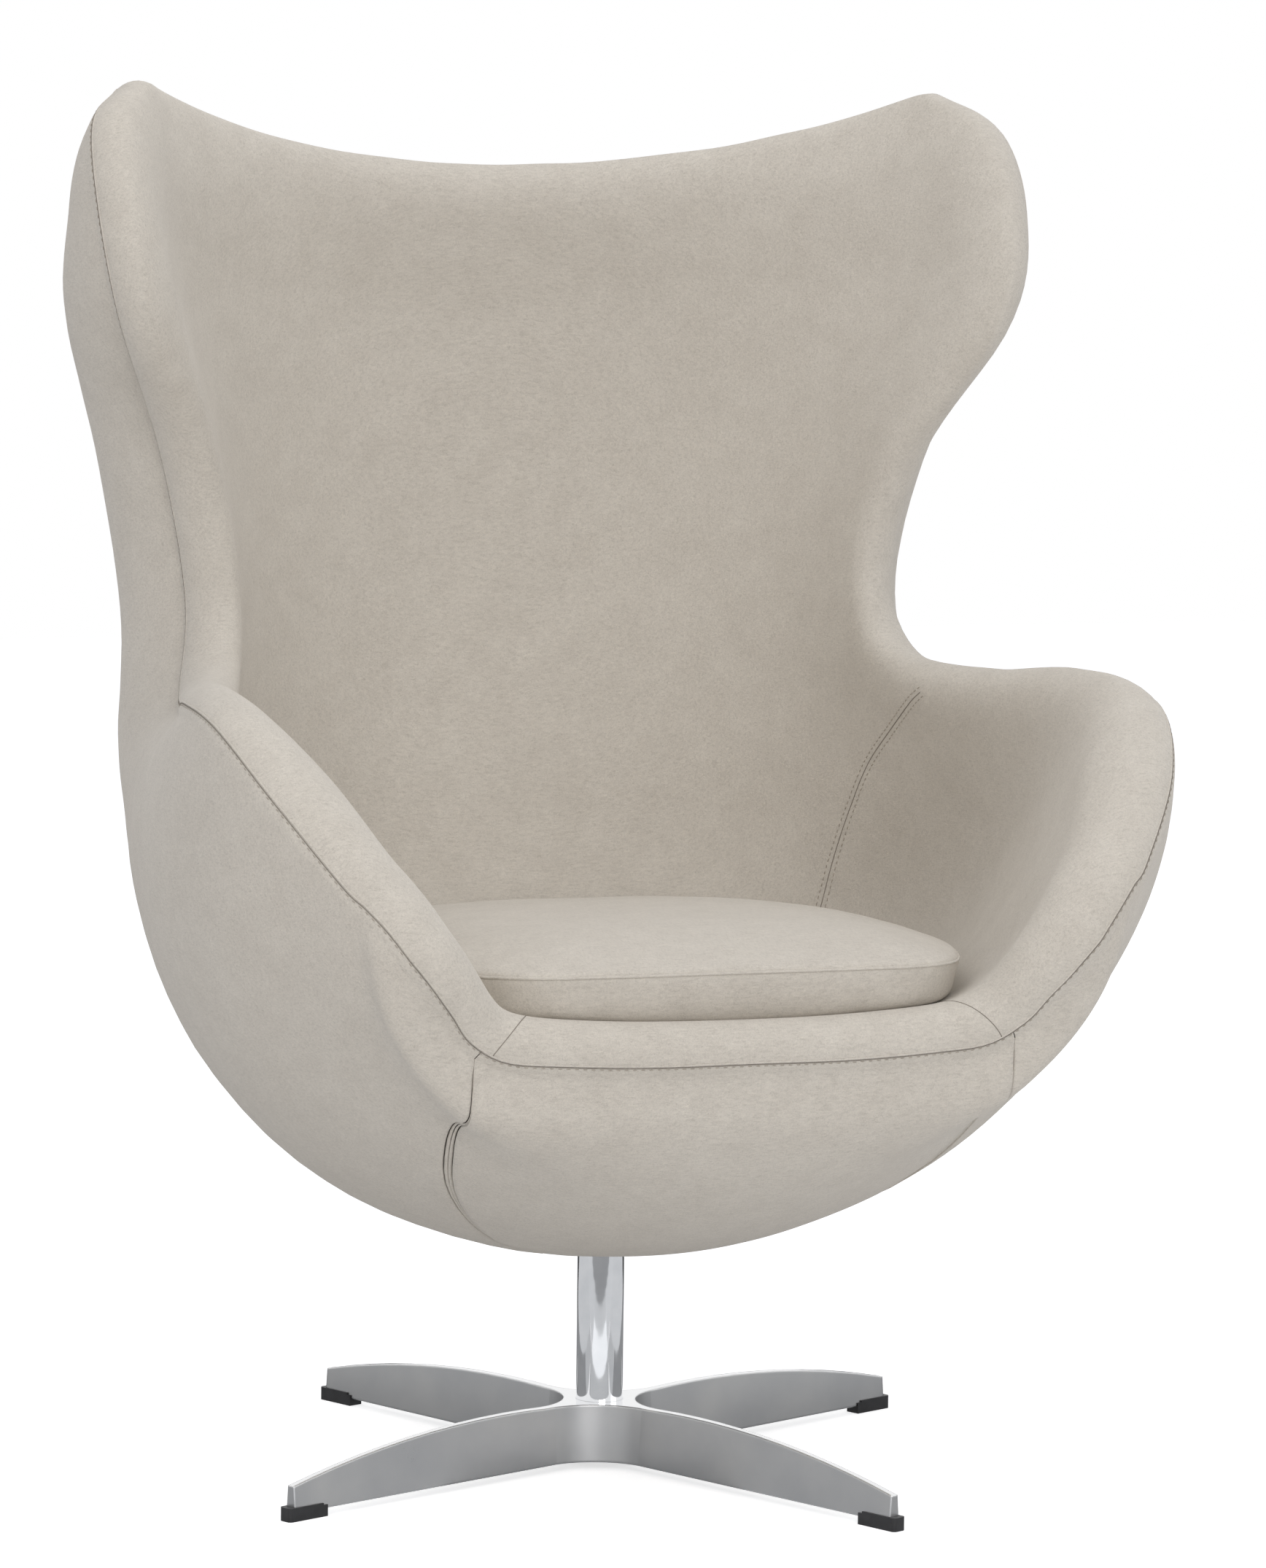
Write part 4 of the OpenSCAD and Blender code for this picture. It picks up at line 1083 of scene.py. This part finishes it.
def inflate(ob, pinned, cap, voxel=0.006, pressure=4.0, frames=20):
    """Blows a closed skin up a little as cloth, held where pinned(point) says so."""
    m = ob.modifiers.new("remesh", "REMESH")
    m.mode = "VOXEL"
    m.voxel_size = voxel
    bake(ob)
    rest = points_of(ob.data)
    group = ob.vertex_groups.new(name="held")
    for k, p in enumerate(rest):
        w = pinned(p)
        if w > 0:
            group.add([k], w, "REPLACE")
    cloth = ob.modifiers.new("cloth", "CLOTH")
    s = cloth.settings
    s.quality = 6
    s.mass = 0.3
    s.tension_stiffness = s.compression_stiffness = 20
    s.shear_stiffness = 8
    s.bending_stiffness = 0.8
    s.use_pressure = True
    s.uniform_pressure_force = pressure
    s.effector_weights.gravity = 0
    s.vertex_group_mass = "held"
    cloth.point_cache.frame_start = 1
    cloth.point_cache.frame_end = frames
    scene = bpy.context.scene
    for frame_no in range(1, frames + 1):
        scene.frame_set(frame_no)
    graph = bpy.context.evaluated_depsgraph_get()
    done = ob.evaluated_get(graph).to_mesh()
    now = points_of(done)
    ob.evaluated_get(graph).to_mesh_clear()
    ob.modifiers.clear()
    scene.frame_set(1)
    move = now - rest
    far = np.linalg.norm(move, axis=1)
    move *= np.minimum(1, cap * np.tanh(far / cap) / np.maximum(far, 1e-9))[:, None]
    ob.data.vertices.foreach_set("co", (rest + move).reshape(-1))
    ob.data.update()
    sub = ob.modifiers.new("smooth", "SUBSURF")
    sub.levels = sub.render_levels = 1
    bake(ob)


def cushion_hold(p):
    h = p[2] * 1000 - seam_height(p[1] * 1000 - AXIS_Y * 1000)
    if h < -BAND + 2.5:
        return 1.0
    d = np.min(np.sum((seam_path - p) ** 2, axis=1)) ** 0.5
    return 1.0 if d < 0.0045 else 0.35 if d < 0.009 else 0.0


inflate(cushion, cushion_hold, cap=0.0045)
pts = points_of(cushion.data)
nrm = np.array([n.vector[:] for n in cushion.data.vertex_normals])
pts = pts + nrm * (0.0006 * soft_noise(pts, 0.06, 4.4))[:, None]
for k, p in enumerate(pts):
    co, n, _, d = inner_tree.find_nearest(Vector(p))
    gap = (Vector(p) - co).dot(n)
    if d < 0.004 and gap < 0.0006:
        pts[k] = p + np.array(n) * (0.0006 - gap)
for k, p in enumerate(pts):
    h = p[2] * 1000 - seam_height((p[1] - AXIS_Y) * 1000)
    w = min(1.0, max(0.0, (-h - 12) / 16))
    if w > 0:
        co, n, _, d = inner_tree.ray_cast(Vector(p), Vector((0, 0, -1)), 0.05)
        if co is not None:
            pts[k][2] -= w * min(max(d - 0.0010, 0.0), 0.0095)
cushion.data.vertices.foreach_set("co", pts.reshape(-1))
cushion.data.update()
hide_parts("seat_cushion")

cushion_tree = tree_of(cushion)
welt, welt_n = settle(cushion_tree, resample(seam_path, 0.003, closed=True))
v, f = tube_mesh([welt + welt_n * 0.0002], 0.0011, 8, closed=True, up=[welt_n])
piece("cushion_welt", v, f, FELT, "cushion")


# ---------------------------------------------------------------- studio
def stage_mesh(name, corners, material):
    mesh = bpy.data.meshes.new(name)
    mesh.from_pydata(corners, [], [(0, 1, 2, 3)])
    mesh.materials.append(material)
    ob = bpy.data.objects.new(name, mesh)
    bpy.context.scene.collection.objects.link(ob)
    return ob


# The floor glows a little for the camera alone, so that it ends up as white as the backdrop
m = Mat("studio_floor")
m.put(Base_Color=(0.80, 0.80, 0.80, 1), Roughness=0.7, Specular_IOR_Level=0.1)
matte = m.bsdf.outputs[0]
glow = m.join("AddShader", matte, m.node("Emission", Strength=0.62).outputs[0])
seen = m.node("LightPath").outputs["Is Camera Ray"]
m.link(m.join("MixShader", seen, matte, glow), m.nodes["Material Output"].inputs["Surface"])
floor = stage_mesh("floor", [(-8, -8, 0), (8, -8, 0), (8, 8, 0), (-8, 8, 0)], m.mat)

# The world lights the chair softly; the camera and mirrors see it white
world = bpy.data.worlds.new("studio")
bpy.context.scene.world = world
world.use_nodes = True
g = Graph(world.node_tree)
soft = g.nodes["Background"]
soft.inputs["Color"].default_value = (0.93, 0.95, 1.0, 1)
soft.inputs["Strength"].default_value = 0.62
white = g.node("Background", Color=(1, 1, 1, 1), Strength=1.0)
path = g.node("LightPath")
sees = path.outputs["Is Camera Ray"]
for ray in ("Is Glossy Ray", "Is Transmission Ray"):
    sees = g.join("Math", sees, path.outputs[ray], operation="ADD", use_clamp=True)
g.link(g.join("MixShader", sees, soft.outputs[0], white.outputs[0]),
       g.nodes["World Output"].inputs["Surface"])


def area(name, at, look, size, power, colour=(1, 1, 1)):
    light = bpy.data.lights.new(name, "AREA")
    light.shape = "RECTANGLE"
    light.size, light.size_y = size
    light.energy = power
    light.color = colour
    ob = bpy.data.objects.new(name, light)
    ob.location = at
    ob.rotation_euler = (Vector(look) - Vector(at)).to_track_quat("-Z", "Y").to_euler()
    bpy.context.scene.collection.objects.link(ob)


area("key", (-2.2, -2.6, 3.2), (0, 0, 0.6), (2.2, 2.2), 38, (1.0, 0.975, 0.96))
area("fill", (3.0, -2.0, 1.8), (0, 0, 0.6), (2.2, 2.4), 14, (0.98, 0.99, 1.0))
area("front", (-0.4, -4.4, 1.5), (0.1, 0, 0.7), (2.4, 1.8), 46, (1.0, 0.98, 0.97))
area("top", (0.2, 0.4, 3.6), (0, 0, 0.6), (3.0, 2.4), 28)


def card(name, corners, colour):
    """Glowing patch that only mirrors see."""
    m = Mat(name)
    m.put(Base_Color=(0, 0, 0, 1), Specular_IOR_Level=0, Emission_Color=(*colour, 1), Emission_Strength=1)
    ob = stage_mesh(name, corners, m.mat)
    ob.visible_diffuse = False
    ob.visible_shadow = False
    ob.visible_camera = False


VIEW = math.radians(-108.9)


def floor_card(name, across, ahead, colour):
    """Patch lying on the floor: ranges across the view and from the column towards the viewer."""
    f = Vector((math.cos(VIEW), math.sin(VIEW), 0))
    r = Vector((-f.y, f.x, 0))
    at = Vector((0, AXIS_Y, 0.0006))
    card(name, [at + r * a + f * b for a, b in ((across[0], ahead[0]), (across[1], ahead[0]),
                                                (across[1], ahead[1]), (across[0], ahead[1]))], colour)


# Painted reflection for the bare metal to mirror: glowing patches stand in for the floor's light and shade,
# dark under the chair where its shade falls, bright floor by the column, its far part darker, grey to the
# sides
for k, (across, ahead, tone) in enumerate([
        ((-0.45, 0.45), (-0.60, 0.12), 0.28), ((-0.45, 0.45), (0.12, 0.36), 0.50),
        ((-0.30, 0.30), (0.36, 0.54), 0.98), ((-0.30, 0.30), (0.54, 0.68), 0.60),
        ((-8.0, 8.0), (0.68, 9.0), 0.31), ((-8.0, 8.0), (-9.0, -0.60), 0.10),
        ((-8.0, -0.45), (-0.60, 0.40), 0.60), ((0.45, 8.0), (-0.60, 0.40), 0.62),
        ((-8.0, -0.30), (0.40, 0.68), 0.62), ((0.30, 8.0), (0.40, 0.68), 0.64)]):
    floor_card("mirror_%d" % k, across, ahead, (tone, tone * 1.015, tone * 1.035))

# Camera where the chair was seen from
DIST, ELEV, AZIM, PITCH, ROLL = 4.707, 12.166, -18.92, 5.786, 0.656
FOCAL, CX, CY, W, H = 8305.0, 831.36, 1075.3, 1736, 2150
az, el, pi_ = math.radians(AZIM), math.radians(ELEV), math.radians(PITCH)
back = Vector((math.sin(az) * math.cos(pi_), -math.cos(az) * math.cos(pi_), math.sin(pi_)))
right = Vector((math.cos(az), math.sin(az), 0))
up = back.cross(right)
co, si = math.cos(math.radians(ROLL)), math.sin(math.radians(ROLL))
right, up = co * right + si * up, -si * right + co * up
cam_data = bpy.data.cameras.new("camera")
cam_data.sensor_fit = "AUTO"
cam_data.sensor_width = 36.0
cam_data.lens = FOCAL * 36.0 / H
cam_data.shift_x = (W / 2 - CX) / H
cam_data.shift_y = (CY - H / 2) / H
cam_data.clip_end = 60
camera = bpy.data.objects.new("camera", cam_data)
spot = Vector((math.sin(az) * math.cos(el), -math.cos(az) * math.cos(el), math.sin(el))) * DIST
spot.y += AXIS_Y
basis = Matrix((right, up, back)).transposed()
camera.matrix_world = Matrix.Translation(spot) @ basis.to_4x4()
bpy.context.scene.collection.objects.link(camera)
bpy.context.scene.camera = camera
bpy.context.scene.view_settings.view_transform = "Standard"
